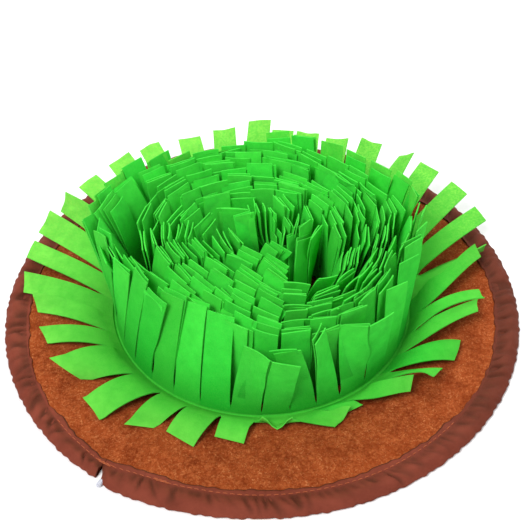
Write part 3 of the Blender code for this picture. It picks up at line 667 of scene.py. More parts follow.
# How far the casing strays outwards near the notch, where its drawcord leaves it slack.
STRAYS = (
    # azimuth, at the seam, at the edge
    (190, 0.0000, 0.0000),
    (208, 0.0030, 0.0008),
    (220, 0.0064, 0.0018),
    (228, 0.0078, 0.0026),
    (233, 0.0096, 0.0024),
    (236, 0.0086, 0.0034),
    (238, 0.0066, 0.0056),
    (241, 0.0040, 0.0052),
    (245, 0.0020, 0.0044),
    (250, 0.0014, 0.0030),
    (257, 0.0005, 0.0016),
    (270, 0.0000, 0.0000),
)
# The tube rolls over its flange between these azimuths, hides the stitching and folds deeper.
ROLLED = ((150.0, 219.0), (-44.0, 44.0))
ROLLED_IN, ROLLED_OUT = 8.0, 6.0                # degrees over which that starts and stops
ROLLED_FLANGE = 0.30          # the share of the flange that shows there
ROLLED_DEPTH = 0.45           # how much deeper the folds are there,
DEEPEST_FOLD = 1.7            # but for those as deep as this
FOLDS = 190
FOLD_SEED = 41
CASING_SECTORS = 900
EDGE_FROM, EDGE_WIDTH = 0.240, 0.008            # where the outer edge's ripples come in,
FLANGE_UNTIL, FLANGE_WIDTH = 0.2275, 0.003      # and where the flange's die away
SUNKEN_WIDTH = 0.0012                           # the painted shade in the dip outside the seam comes in,
SUNKEN_UNTIL, SUNKEN_FADE = 0.2385, 0.007       # and dies away
STRAY_EDGE_RADIUS = 0.2480


def casing_folds():
    """The gathers: each starts at the seam, runs out over the tube on a slant and dies away."""
    chance = random.Random(FOLD_SEED)
    folds = []
    for k in range(FOLDS):
        folds.append((
            math.radians(360.0 * (k + swing(chance, 0.45)) / FOLDS),
            math.radians(chance.uniform(0.35, 0.95)),
            math.radians(swing(chance, 2.6)),
            chance.uniform(0.35, 1.15),
            chance.uniform(0.3, 1.0) ** 1.5 * (2.2 if k % 7 == 3 else 1.0),
        ))
    return folds


def fold_depth(azimuth, share, folds):
    """How deep the gathers are at each azimuth, for one line of the section."""
    depth = np.zeros_like(azimuth)
    for middle, width, slant, reach, size in folds:
        centre = middle + slant * share
        offset = (azimuth - centre + math.pi) % math.tau - math.pi
        spread = width * (0.55 + 0.9 * share)
        fade = math.exp(-((share / reach) ** 4))
        depth += size * fade * np.exp(-((offset / spread) ** 2))
    return depth


def notch_shift(azimuth, radius):
    """Draws the casing's two ends back from the notch, a slanted V that opens outwards."""
    t = smooth((radius - NOTCH_INNER_RADIUS) / (RIM_RADIUS - NOTCH_INNER_RADIUS))
    half_gap = NOTCH_INNER_HALF_GAP + (NOTCH_HALF_GAP - NOTCH_INNER_HALF_GAP) * t
    gap = half_gap / radius
    turn = (azimuth - math.radians(NOTCH_AZIMUTH)) / math.tau
    start = math.radians(NOTCH_AZIMUTH - NOTCH_SLANT * (1.0 - t))
    return start + gap + turn * (math.tau - 2.0 * gap)


def rim_stray(azimuth, radius):
    """How far the casing stands out of its circle at an azimuth in degrees and a radius."""
    places, at_seam, at_edge = zip(*STRAYS)
    share = smooth((radius - SEAM_RADIUS) / (STRAY_EDGE_RADIUS - SEAM_RADIUS))
    seam = np.interp(azimuth % 360.0, places, at_seam)
    edge = np.interp(azimuth % 360.0, places, at_edge)
    return seam + (edge - seam) * share


def rolled_share(azimuth):
    """How far the tube is rolled over its flange at an azimuth in degrees, from 0 to 1."""
    rolled = 0.0
    for first, last in ROLLED:
        turn = (azimuth - first + 90.0) % 360.0 - 90.0
        rolled = rolled + steps(turn / ROLLED_IN) * steps((last - first - turn) / ROLLED_OUT)
    return rolled


def flange_width(azimuth):
    """The share of the flange that shows at an azimuth in degrees."""
    return 1.0 - (1.0 - ROLLED_FLANGE) * rolled_share(azimuth)


def casing_row(azimuth, folds, section, length):
    """A line of the casing's section carried round the mat: its points and their shades."""
    radius, height, pucker = section
    share = clamp((radius - SEAM_RADIUS) / (RIM_RADIUS - SEAM_RADIUS), 0.0, 1.0)
    depth = np.zeros_like(azimuth)
    if height > 0.001 and pucker > 0.0:
        depth = fold_depth(azimuth, share, folds)
    deeper = 1.0 + ROLLED_DEPTH * rolled_share(np.degrees(azimuth))
    depth = np.minimum(depth * deeper, np.maximum(depth, DEEPEST_FOLD))
    slow = ripple(azimuth, TUBE_RIPPLE)
    outside = smooth((radius - EDGE_FROM) / EDGE_WIDTH)
    inside = smooth((FLANGE_UNTIL - radius) / FLANGE_WIDTH)
    place = notch_shift(azimuth, radius)
    turn = np.degrees(place)
    drawn_in = EDGE_SWELL * (1.0 + slow) + EDGE_GATHER * depth - ripple(azimuth, EDGE_RIPPLE)
    r = radius - outside * drawn_in + inside * ripple(azimuth, FLANGE_RIPPLE)
    r = r + max(SEAM_RADIUS - radius, 0.0) * (1.0 - flange_width(turn)) * (height > 0.003)
    r = r + rim_stray(turn, radius)
    z = height + pucker * (SWELL_HEIGHT * slow - GATHER_DEPTH * depth)
    # Painted shade in the dip outside the seam and down in the gathers' creases.
    dip_painted_shade = 0.5 * smooth((radius - SEAM_RADIUS) / SUNKEN_WIDTH)
    dip_painted_shade *= smooth((SUNKEN_UNTIL - radius) / SUNKEN_FADE)
    dark = DARKEST_PAINTED_SHADE * depth * pucker + dip_painted_shade * (0.7 + 0.3 * slow)
    dark = np.clip(dark, 0.0, DARKEST_PAINTED_SHADE)
    # Painted shadow under the flange's edge.
    if length < FLANGE_PAINTED_SHADOW:
        dark = np.ones_like(azimuth)
    # Painted shade on the casing's right, the side away from the key light.
    facing = np.cos(place - math.radians(RIGHT_AZIMUTH))
    dark = dark + RIGHT_PAINTED_SHADE * steps((facing - 0.55) / 0.45) * (1.0 - dark)
    shades = np.stack([azimuth * radius, np.full_like(azimuth, length), dark], axis=1)
    return ring_points(place, r, z), shades


def make_casing():
    folds = casing_folds()
    azimuth = math.radians(NOTCH_AZIMUTH) + np.linspace(0.0, math.tau, CASING_SECTORS + 1)
    build = Build()
    rows, lines = [], []
    length = 0.0
    before = CASING_SECTION[0]
    for section in CASING_SECTION:
        length += math.dist(section[:2], before[:2])
        before = section
        row, shades = casing_row(azimuth, folds, section, length)
        rows.append(row)
        lines.append(build.add_points(row.tolist()))
        build.shades[lines[-1][0]:] = shades.tolist()
    for k, first in enumerate(lines):
        build.join_rows(first, lines[(k + 1) % len(lines)])
    for end in (0, -1):
        close_casing(build, rows, lines, end)
    cloth = casing_cloth("casing cloth")
    piece = build.finish("rim_binding", [cloth], sharp=60)
    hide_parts("rim_casing")


def close_casing(build, rows, lines, end):
    """Close an end of the casing round the mouth of the drawcord's tunnel."""
    centre_radius, centre_height = TUNNEL_CENTRE
    first, last = TUNNEL_LINE, len(CASING_SECTION) - 2
    inwards = 1.0 if end == 0 else -1.0
    loops = []
    for depth, scale in TUNNEL_RINGS:
        points = []
        for row in rows[first:last]:
            x, y, z = row[end]
            turn = math.degrees(math.atan2(y, x)) + inwards * depth
            radius = centre_radius + scale * (math.hypot(x, y) - centre_radius)
            points.append(around(turn, radius, centre_height + scale * (z - centre_height)))
        # The tunnel's mouth is painted darker, a painted shade inside it.
        loops.append(build.add_points(points, (0.0, 0.0, 0.6)))
    edge = [line[end] for line in lines]
    mouth = loops[0]
    build.join_rows(edge[first:last], mouth)
    build.add_face(edge[last - 1], edge[last], mouth[0], mouth[-1])
    build.add_face(edge[last], edge[last + 1], edge[0], edge[1], mouth[0])
    build.add_face(*edge[1:first + 1], mouth[0])
    build.join_rings(loops)
    build.add_face(*loops[-1])


STITCH_SEED = 5
STITCH_PITCH = 0.0062
STITCH_INSET = 0.0004         # how far inside the seam it is sewn
STITCH_SWAY = 0.0002
# A stitch's half length in degrees, skew, height and half thickness, and a back-tack's.
STITCH = (math.degrees(0.0020 / SEAM_RADIUS), 0.0, 0.00545, 0.00031)
TACK = (0.45, 0.0004, 0.0058, 0.00033)
STITCH_SIDES = 8
STITCH_SHAPE = ((0.0, 0.55), (0.12, 0.9), (0.5, 1.0), (0.88, 0.9), (1.0, 0.55))
CLEAR_OF_NOTCH = 0.6          # degrees from the notch to where the stitching starts
# Where the seam is sewn over again: the first azimuth of each cluster, and its stitches.
BACK_TACKS = ((233.0, 10), (246.2, 9))
TACK_PITCH = 0.34             # degrees
TACK_INSETS = (0.0009, 0.0002, -0.0005)         # back-tacks lie in three rows


def add_stitch(build, azimuth, radius, half, skew, height, thin):
    """A short round-ended thread that dips at both ends."""
    start = around(azimuth - half, radius + skew, height)
    stop = around(azimuth + half, radius - skew, height)
    along = (stop - start).normalized()
    side = along.cross(UP).normalized()
    up = side.cross(along)
    rings = []
    for share, size in STITCH_SHAPE:
        middle = start.lerp(stop, share) + up * (thin * (0.9 * math.sin(math.pi * share) - 0.5))
        turns = (math.tau * k / STITCH_SIDES for k in range(STITCH_SIDES))
        rings.append(build.add_points([
            middle + (side * math.cos(turn) + up * math.sin(turn)) * (thin * size)
            for turn in turns]))
    build.join_rings(rings, capped=True)


def make_stitches():
    """The lockstitch along the casing's seam, and the clusters of back-tacks at the notch."""
    chance = random.Random(STITCH_SEED)
    build = Build()
    count = round(math.tau * SEAM_RADIUS / STITCH_PITCH)
    whole = 360.0 - 2.0 * CLEAR_OF_NOTCH
    for k in range(count):
        azimuth = NOTCH_AZIMUTH + CLEAR_OF_NOTCH + whole * (k + 0.5) / count
        sway = STITCH_SWAY * math.sin(0.37 * k) + swing(chance, STITCH_SWAY / 2.0)
        if flange_width(azimuth) < 0.9:
            continue
        radius = SEAM_RADIUS - STITCH_INSET + sway + rim_stray(azimuth, SEAM_RADIUS)
        add_stitch(build, azimuth, radius, *STITCH)
    for first, count in BACK_TACKS:
        for k in range(count):
            azimuth = first + TACK_PITCH * k
            radius = SEAM_RADIUS - TACK_INSETS[k % 3] + rim_stray(azimuth, SEAM_RADIUS)
            add_stitch(build, azimuth, radius, *TACK)
    orange = thread("orange thread", (0.56, 0.120, 0.018), (0.30, 0.052, 0.010))
    build.finish("rim_stitching", [orange], sharp=None)


CORD_RADIUS = 0.0023
CORD_SIDES = 24
CORD_STATIONS = 26
CORD_FROM, CORD_TO = 3.4, 0.35   # degrees from the mouth to its root, and to its tip
CORD_REACH = 0.0300           # how strongly its outer half bends outwards
CORD_DROOP = 0.0012
CORD_STRANDS = 0.045          # how far the braid's strands stand out, as a share
CORD_END_FROM = 0.90          # from here its end is rounded off


def make_cord_tip():
    """The drawcord's sealed tip, which bends out of one of the casing's mouths."""
    centre_radius, centre_height = TUNNEL_CENTRE
    mouth = NOTCH_AZIMUTH + math.degrees(NOTCH_HALF_GAP * 0.8 / centre_radius)
    start, tip = mouth + CORD_FROM, mouth + CORD_TO
    path = []
    for k in range(CORD_STATIONS + 1):
        t = k / CORD_STATIONS
        azimuth = start + (tip - start) * smooth(t / 0.8)
        outwards = rim_stray(azimuth, centre_radius) + CORD_REACH * max(t - 0.5, 0.0) ** 1.5
        height = centre_height - CORD_DROOP * smooth(t)
        path.append(around(azimuth, centre_radius + outwards, height))
    build = Build()
    rings = []
    for k, point in enumerate(path):
        t = k / CORD_STATIONS
        along = (path[min(k + 1, CORD_STATIONS)] - path[max(k - 1, 0)]).normalized()
        side = along.cross(UP).normalized()
        up = side.cross(along)
        past = max(t - CORD_END_FROM, 0.0) / (1.0 - CORD_END_FROM)
        size = CORD_RADIUS * math.sqrt(max(1.0 - 0.85 * past ** 2, 0.02))
        strands = CORD_STRANDS * (1.0 if t < 0.86 else 0.3)
        ring = []
        for j in range(CORD_SIDES):
            angle = math.tau * j / CORD_SIDES
            spoke = size * (1.0 + strands * abs(math.sin(4 * angle + 9.0 * t)))
            ring.append(point + side * (spoke * math.cos(angle)) + up * (spoke * math.sin(angle)))
        rings.append(build.add_points(ring))
    build.join_rings(rings, capped=True)
    cord = braid("braided cord")
    piece = build.finish("drawcord_tip", [cord], sharp=None)
    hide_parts("drawcord_end")


GRIP_SECTORS = 240
# The section of the disc's turned edge, from its top to its underside: how far inside the
# edge, and how high.
GRIP_SECTION = (
    (0.0042, GRIP_THICKNESS),
    (0.0006, GRIP_THICKNESS),
    (0.0, GRIP_THICKNESS * 0.5),
    (0.0006, 0.0),
    (0.0042, 0.0),
    (0.0052, 0.00022),
)


def make_grip():
    """The anti-slip disc under the base, with a turned edge."""
    build = Build()
    turns = [360.0 * k / GRIP_SECTORS for k in range(GRIP_SECTORS)]
    rings = [build.add_points([around(turn, GRIP_RADIUS - inset, height) for turn in turns])
             for inset, height in GRIP_SECTION]
    build.join_rings(rings)
    for end in (0, -1):
        build.add_fan(rings[end], GRIP_SECTION[end][1])
    piece = build.finish("grip_pad", [grip_cloth("dotted cloth")], sharp=40)
    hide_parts("grip_disc")


# ---- the green fringe
def half_chord(start, stop, radius):
    return radius * math.sin(math.radians(stop - start) / 2.0)


@dataclass
class Finger:
    """A strip of felt between two slits: its centre-line, and how its width lies along it."""

    start: float                  # its slits' azimuths
    stop: float
    radius: float
    points: list                  # up its middle
    top_side: Vector              # the direction of its width at its top,
    ease: float                   # which it has turned to by this share of its length
    square: float                 # how far its width is kept square to its line, from 0 to 1
    roll: float = 0.0             # degrees that it is rolled about its line at its top,
    quick: float = 1.0            # which it has reached by this share of its length
    cup: float = 0.0              # curvature across its width
    wave: float = 0.0             # how far its tip rises and falls across its width
    shade: tuple = ()

    def __post_init__(self):
        self.half = half_chord(self.start, self.stop, self.radius)
        self.root_side = tangent_at((self.start + self.stop) / 2.0)
        self.length = sum((b - a).length for a, b in zip(self.points, self.points[1:]))

    def frame(self, place):
        """The middle, width direction and face direction at a share of the length."""
        k = round(place * STEPS_ALONG_FINGER)
        along = self.points[min(k + 1, STEPS_ALONG_FINGER)] - self.points[max(k - 1, 0)]
        along.normalize()
        side = self.root_side.lerp(self.top_side, smooth(place / self.ease))
        side -= along * (side.dot(along) * self.square)
        side.normalize()
        out = side.cross(along).normalized()
        turned = math.radians(self.roll)
        turned *= place if self.quick == 1.0 else smooth(place / self.quick)
        cosine, sine = math.cos(turned), math.sin(turned)
        return self.points[k], side * cosine + out * sine, out * cosine - side * sine

    def room_beside(self, other, place):
        """The half width at a place, less where the finger beside this one is in the way."""
        middle, side, out = self.frame(place)
        beside = min(other.points, key=lambda point: (point - middle).cross(side).length)
        offset = beside - middle
        other_side = other.frame(place)[1]
        across = offset.dot(side)
        facing = 1.0 if across > 0.0 else -1.0
        slope = other_side.dot(out) / max(other_side.dot(side), 0.3)
        heights = [offset.dot(out) + (x - across) * slope
                   for x in (across - facing * other.half, facing * self.half)]
        if min(heights) > CLEAR_OF_NEIGHBOUR or max(heights) < -CLEAR_OF_NEIGHBOUR:
            return self.half
        return min(self.half, max(abs(across) / 2.0 - SLIT_WIDTH / 2.0, 0.2 * self.half))


def eased(widths):
    """Widths along a finger, never more than asked, with no step from one to the next."""
    low = [min(widths[max(k - 2, 0):k + 3]) for k in range(len(widths))]
    for _ in range(6):
        low = [(low[max(k - 1, 0)] + 2.0 * low[k] + low[min(k + 1, len(low) - 1)]) / 4.0
               for k in range(len(low))]
    return low


def top_of_layer(azimuth, layer):
    """Where the top of a standing layer is, seen from above."""
    reach, first, second, third, before, behind, x, y = (
        pile_value(azimuth, column) for column in range(1, 9))
    marks = ((0, 0.0), (1, first), (2, second), (3, third), (BEFORE_HOLLOW, before),
             (BEFORE_HOLLOW + 1, behind), (LAST_LAYER, 1.0))
    for (low, near), (high, far) in zip(marks, marks[1:]):
        if layer <= high:
            share = near + (far - near) * (layer - low) / (high - low)
            break
    return around(azimuth, reach) * (1.0 - share) + Vector((x, y, 0.0)) * share


def pile_value(azimuth, column):
    """A column of the pile's table at an azimuth, read smoothly between its lines."""
    last = len(PILE) - 1
    place = clamp((azimuth - PILE[0][0]) / PILE_STEP, 0.0, last - 1e-6)
    line = int(place)
    t = place - line
    a, b, c, d = (PILE[clamp(line + k, 0, last)][column] for k in (-1, 0, 1, 2))
    return b + 0.5 * t * (c - a + t * (2 * a - 5 * b + 4 * c - d + t * (3 * (b - c) + d - a)))


def root_of(start, stop, radius):
    """The middle of a finger's root, which is a chord of its band's circle."""
    half = math.radians(stop - start) / 2.0
    return around((start + stop) / 2.0, radius * math.cos(half), BACKING_TOP)


def standing_curve(root, top, length, bow):
    """Points up a standing finger of a given length, which leans from its root over to its top."""
    lean = Vector((top.x - root.x, top.y - root.y, 0.0))
    lean *= min(1.0, MOST_LEAN * length / max(lean.length, 1e-6))
    bow = min(bow, MOST_SLOPE * length / max(lean.length, 1e-6) - 1.0)
    points = [root.copy()]
    height = 0.0
    step = 1.0 / STEPS_ALONG_FINGER
    for k in range(STEPS_ALONG_FINGER):
        middle = (k + 0.5) * step
        sideways = lean.length * (1.0 - bow + 2.0 * bow * middle)
        height += step * math.sqrt(max(length ** 2 - sideways ** 2, (0.1 * length) ** 2))
        u = (k + 1) * step
        points.append(root + lean * ((1.0 - bow) * u + bow * u * u) + Vector((0.0, 0.0, height)))
    return points


def splayed_curve(root, tip, outward, rise, fall):
    """Points along a splayed finger, a curve that leaves its root on a slope and may droop."""
    heading = Vector((tip.x - root.x, tip.y - root.y, 0.0)).normalized()
    arm = SPLAY_ARM * (tip - root).length
    rise, fall = math.radians(rise), math.radians(fall)
    leave = (outward + heading).normalized() * math.cos(rise) + UP * math.sin(rise)
    arrive = heading * math.cos(fall) + UP * math.sin(fall)
    a, b, c, d = root, root + leave * arm, tip - arrive * arm, tip
    points = []
    for u in PLACES:
        v = 1.0 - u
        points.append(a * v ** 3 + b * (3 * u * v * v) + c * (3 * u * u * v) + d * u ** 3)
    return points


def spans_of(slits, radius):
    """Start and stop azimuths of the fingers between slits, less the slits' own width."""
    half_slit = math.degrees(SLIT_WIDTH / 2.0 / radius)
    closed = [*slits, slits[0] + 360.0]
    return [(a + half_slit, b - half_slit) for a, b in zip(closed, closed[1:])]


def wall_fingers(radius):
    fingers = []
    spans = spans_of([line[0] for line in WALL], radius)
    for (start, stop), (_, azimuth, reach, turn, length) in zip(spans, WALL):
        root = root_of(start, stop, radius)
        points = standing_curve(root, around(azimuth, reach), length, WALL_BOW)
        side = swung(tangent_at(azimuth), turn)
        fingers.append(Finger(start, stop, radius, points, side, ease=0.9, square=1.0))
    return fingers


def skirt_fingers(radius):
    fingers = []
    spans = spans_of([line[0] for line in SKIRT], radius)
    for (start, stop), (_, azimuth, reach, height, rise, fall, turn, roll) in zip(spans, SKIRT):
        root = root_of(start, stop, radius)
        tip = around(azimuth, reach, height)
        points = splayed_curve(root, tip, around((start + stop) / 2.0), rise, fall)
        side = swung(tangent_at(azimuth), turn)
        fingers.append(Finger(start, stop, radius, points, side, ease=1.0, square=0.2, roll=roll))
    return fingers


class TopEdge:
    """The top edge of a standing finger, seen from above with the pile's centre as origin."""

    def __init__(self, middle, side, half):
        self.middle = Vector((middle.x, middle.y)) - PILE_CENTRE.xy
        self.side = side.xy
        self.half = half

    def azimuths(self):
        """The whole degrees that the edge spans."""
        ends = [self.middle + self.side * (self.half * sign) for sign in (-1.0, 1.0)]
        middle = math.atan2(self.middle.y, self.middle.x)
        turns = [math.remainder(math.atan2(end.y, end.x) - middle, math.tau) for end in ends]
        low, high = (math.degrees(middle + turn) for turn in (min(turns), max(turns)))
        return range(math.ceil(low), math.floor(high) + 1)

    def distance(self, azimuth):
        """How far the edge's line is from the pile's centre at an azimuth."""
        ray = around(azimuth).xy
        return self.middle.cross(self.side) / ray.cross(self.side)


def inner_outline(edges):
    """The distance of a layer's top edges from the pile's centre at each whole degree."""
    outline = {}
    for edge in edges:
        for azimuth in edge.azimuths():
            distance = edge.distance(azimuth)
            outline[azimuth % 360] = min(distance, outline.get(azimuth % 360, distance))
    return outline


def blade_share(azimuth, layer):
    """How nearly a finger is one of those right of and behind the hollow, which stand edge-on."""
    depth = clamp(layer - BEFORE_HOLLOW, 0.0, 1.0)
    (first, widening), (last, narrowing) = BLADES
    return depth * smooth((azimuth - first) / widening) * smooth((last - azimuth) / narrowing)


def inner_fingers(radius, slits, layer, outline, chance):
    """One half of an inner band: its fingers follow the pile, inside the layer round them."""
    fingers, edges = [], []
    for start, stop in spans_of(slits, radius):
        middle = (start + stop) / 2.0
        top = top_of_layer(middle, layer)
        along = top_of_layer(middle + 3.0, layer) - top_of_layer(middle - 3.0, layer)
        twist = math.remainder(math.atan2(along.y, along.x) - math.radians(middle + 90.0), math.tau)
        twist = clamp(math.degrees(twist), -MOST_TWIST, MOST_TWIST)
        blade = blade_share(middle, layer)
        twist -= blade * middle * (1.0 if middle < 0.0 else 0.75)
        side = swung(tangent_at(middle), twist + swing(chance, TURN_SWING))
        top += side * swing(chance, SIDEWAYS_SWING)
        top.x += blade * BLADE_SPREAD * (BLADES_MIDDLE - layer)
        inward = (PILE_CENTRE - top).normalized()
        top += inward * swing(chance, REACH_SWING)
        half = half_chord(start, stop, radius)
        edge = TopEdge(top, side, half)
        excess = max((edge.distance(azimuth) + LAYER_SPACE - outline[azimuth % 360]
                      for azimuth in edge.azimuths() if azimuth % 360 in outline), default=0.0)
        if blade < 0.2:
            top += inward * clamp(excess, 0.0, MOST_PUSH)
            edges.append(TopEdge(top, side, half))
        length = FINGER_LENGTH * chance.uniform(1.0 - LENGTH_SWING, 1.0 + LENGTH_SWING)
        bow = chance.uniform(*BOWS)
        points = standing_curve(root_of(start, stop, radius), top, length, bow)
        fingers.append(Finger(start, stop, radius, points, side, ease=0.8, square=1.0, roll=SHINGLE,
                              quick=0.5))
    return fingers, {**outline, **inner_outline(edges)}


def uneven_slits(count, chance):
    pitch = 360.0 / count
    swings = [0.0, *(swing(chance, SLIT_SWING) for _ in range(count - 1))]
    return [SLITS_START + k * pitch + share * pitch for k, share in enumerate(swings)]


def second_plies(fingers, chance):
    """A finger a little behind each of these, of its own length and turn."""
    plies = []
    for finger in fingers:
        _, side, out = finger.frame(1.0)
        shift = side * swing(chance, PLY_SWAY)
        shift -= out * (PLY_GAP * chance.uniform(*PLY_GAPS))
        longer = chance.uniform(*PLY_STRETCH) * STEPS_ALONG_FINGER
        along = finger.points[-1] - finger.points[-2]
        points = []
        for place, point in zip(PLACES, finger.points):
            points.append(point + shift * smooth(place) + along * (longer * place ** 3))
        top_side = swung(finger.top_side, swing(chance, PLY_TURN))
        plies.append(replace(finger, points=points, top_side=top_side))
    return plies


def surface_of(finger, before, after):
    """Rows of points up the middle of a finger's felt, with the face direction at each."""
    left = eased([finger.room_beside(before, place) for place in PLACES])
    right = eased([finger.room_beside(after, place) for place in PLACES])
    rows = []
    for k, place in enumerate(PLACES):
        middle, side, out = finger.frame(place)
        curve = (1.0 - smooth(place / 0.5)) / (2.0 * finger.radius) + finger.cup * smooth(place)
        row = []
        for j in range(COLUMNS):
            x = -left[k] + (left[k] + right[k]) * j / (COLUMNS - 1)
            bulge = curve * (finger.half ** 2 - x ** 2)
            bulge += finger.wave * place ** 2 * math.cos(math.pi * x / finger.half)
            row.append(middle + side * x + out * bulge)
        rows.append((row, out))
    return rows


def close_slits(surfaces, fingers, margins):
    """Draw the felt together between the fingers, up to where each slit starts."""
    count = len(surfaces)
    for k in range(count):
        n = (k + 1) % count
        for line, place in enumerate(PLACES):
            share = 1.0 - smooth((fingers[k].length * place - margins[k]) / CLOSING)
            if share <= 0.0:
                break
            row, other = surfaces[k][line][0], surfaces[n][line][0]
            gap = other[0] - row[-1]
            for j in range(COLUMNS):
                row[j] += gap * (0.5 * share * (j / (COLUMNS - 1)) ** 2)
                other[j] -= gap * (0.5 * share * (1.0 - j / (COLUMNS - 1)) ** 2)


def add_finger(build, surface, shade):
    """A closed strip of felt round the points of its middle surface, with painted shade towards its
    root and painted light warming its tip.
    """
    half = FELT_THICKNESS / 2.0
    tone, warm, painted_tip_light, painted_backlight = shade
    fronts, backs = [], []
    for k, (row, out) in enumerate(surface):
        front = [point + out * half for point in row]
        back = [point - out * half for point in row]
        lift = max(0.0, LOWEST_FRINGE - min(point.z for point in (*front, *back)))
        for point in (*front, *back):
            point.z += lift
        place = k / len(surface)
        up = place ** 2
        # Painted shade darkens the root; painted light warms the tip and, at the back, shows as
        # pale patches.
        row_shade = (tone * (0.2 + 0.8 * smooth(place / 0.55)), warm + painted_tip_light * up, painted_backlight * up)
        fronts.append(build.add_points(front, row_shade))
        backs.append(build.add_points(back, row_shade))
    for rows in (fronts, backs):
        for first, second in zip(rows, rows[1:]):
            build.join_rows(first, second)
    for k in range(len(fronts) - 1):
        for j in (0, -1):
            build.add_face(fronts[k][j], fronts[k + 1][j], backs[k + 1][j], backs[k][j], slot=1)
    build.join_rows(fronts[0], backs[0])
    build.join_rows(fronts[-1], backs[-1], slot=1)


FOLD_SECTORS = 180


def add_fold(build, radius):
    """The fold of a band along its seam, from which its two halves rise."""
    thin = FELT_THICKNESS / 2.0
    middle = BACKING_BOTTOM + HALF_SPREAD + thin
    section = []
    half_turn = [math.radians(angle) for angle in range(0, 181, 30)]
    for bend, turns in ((HALF_SPREAD + thin, half_turn), (HALF_SPREAD - thin, half_turn[::-1])):
        arc = [(bend * math.cos(turn), middle - bend * math.sin(turn)) for turn in turns]
        section += [(arc[0][0], BACKING_TOP), *arc, (arc[-1][0], BACKING_TOP)]
    rings = []
    for k in range(FOLD_SECTORS):
        azimuth = 360.0 * k / FOLD_SECTORS
        ring = [around(azimuth, radius + across, max(height, BACKING_BOTTOM))
                for across, height in section]
        # The fold is painted dark like the fingers' roots, a painted shade down in the seam.
        rings.append(build.add_points(ring, (0.3, 0.2, 0.0)))
    build.join_rings([*rings, rings[0]])


def curl_top(finger, amount):
    """Bend a finger's upper part towards its face or its back."""
    out = finger.frame(1.0)[2]
    finger.points = [point + out * (amount * place ** 3)
                     for place, point in zip(PLACES, finger.points)]


def dress(fingers, half, chance):
    """Give each finger its own cup across its width and its own shade of green.

    A shade is how light a finger is, how warm, how much painted light warms its tip and how much
    painted back-light shows there in pale patches. Lightness and warmth vary at random, and also
    hold painted light and shade by where the finger stands.
    """
    for finger in fingers:
        finger.cup = chance.gauss(0.0, CUP_SWING)
        azimuth = (finger.start + finger.stop) / 2.0 % 360.0
        behind = smooth(math.sin(math.radians(azimuth)) * 0.9 + 0.4)
        if half == "skirt":
            leftward = smooth(0.5 - 0.6 * math.cos(math.radians(azimuth)))
            # Painted shade: the skirt is painted darker than the standing fingers, and darker still
            # at the back.
            tone = max(chance.uniform(0.15, 0.45) - 0.08 - 0.12 * behind, 0.0)
            # Painted light: the skirt is warmer on its left and at the back, its tips more so on
            # the left, and painted back-light shows at the back.
            warm = 0.13 + 0.17 * leftward + 0.30 * behind + swing(chance, 0.08)
            painted_tip_light = 0.30 + 0.25 * leftward
            painted_backlight = 0.75 * behind
            finger.wave = chance.gauss(0.0, WAVE_SWING) + WAVED.get(round(finger.start), 0.0)
        else:
            wall = half == "wall"
            rightward = smooth(math.cos(math.radians(azimuth + 25.0)))
            tone = chance.uniform(0.50, 1.0)
            # Painted light: the wall is painted lighter on its right and at the back, the inner
            # fingers at the back.
            tone += 0.35 * max(rightward, behind) - 0.15 if wall else 0.30 * behind
            # Painted back-light: the wall is warmer at the back and shows pale patches there.
            warm = 0.04 + chance.uniform(-0.04, 0.06) + (0.25 * behind if wall else 0.0)
            painted_tip_light = 0.10
            painted_backlight = 0.3 * behind if wall else 0.0
            curl = clamp(chance.gauss(0.0, TOP_CURL), -2.0 * TOP_CURL, 2.0 * TOP_CURL)
            curl_top(finger, curl * (WALL_CURL if wall else 1.0))
        finger.shade = (min(tone, 1.0), max(warm, 0.0), painted_tip_light, painted_backlight)


def surfaces_of(fingers):
    return [surface_of(finger, fingers[k - 1], fingers[(k + 1) % len(fingers)])
            for k, finger in enumerate(fingers)]


def add_plies(build, fingers, chance):
    plies = second_plies(fingers, chance)
    dress(plies, "standing", chance)
    first = round(PLY_FROM * STEPS_ALONG_FINGER)
    for ply, surface in zip(plies, surfaces_of(plies)):
        if chance.random() >= SINGLE_SHARE:
            add_finger(build, surface[first:], ply.shade)


def add_half(build, fingers, half, chance, margin):
    dress(fingers, half, chance)
    surfaces = surfaces_of(fingers)
    margins = [margin * chance.uniform(*MARGIN_SHARES) for _ in fingers]
    close_slits(surfaces, fingers, margins)
    for finger, surface in zip(fingers, surfaces):
        add_finger(build, surface, finger.shade)


def make_band(number, outer, outer_kind, inner, chance, materials):
    """A band of fringe: the fold along its seam, with a row of fingers on each side."""
    node, seam_radius, _ = BANDS[number]
    build = Build()
    add_fold(build, seam_radius)
    add_half(build, outer, outer_kind, chance, MARGIN)
    if outer_kind == "skirt":
        add_half(build, inner, "wall", chance, WALL_MARGIN)
    else:
        add_half(build, inner, "standing", chance, MARGIN)
        add_plies(build, outer, chance)
    add_plies(build, inner, chance)
    piece = build.finish(f"green_fringe_{number + 1}", materials, sharp=38)
    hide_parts(node)


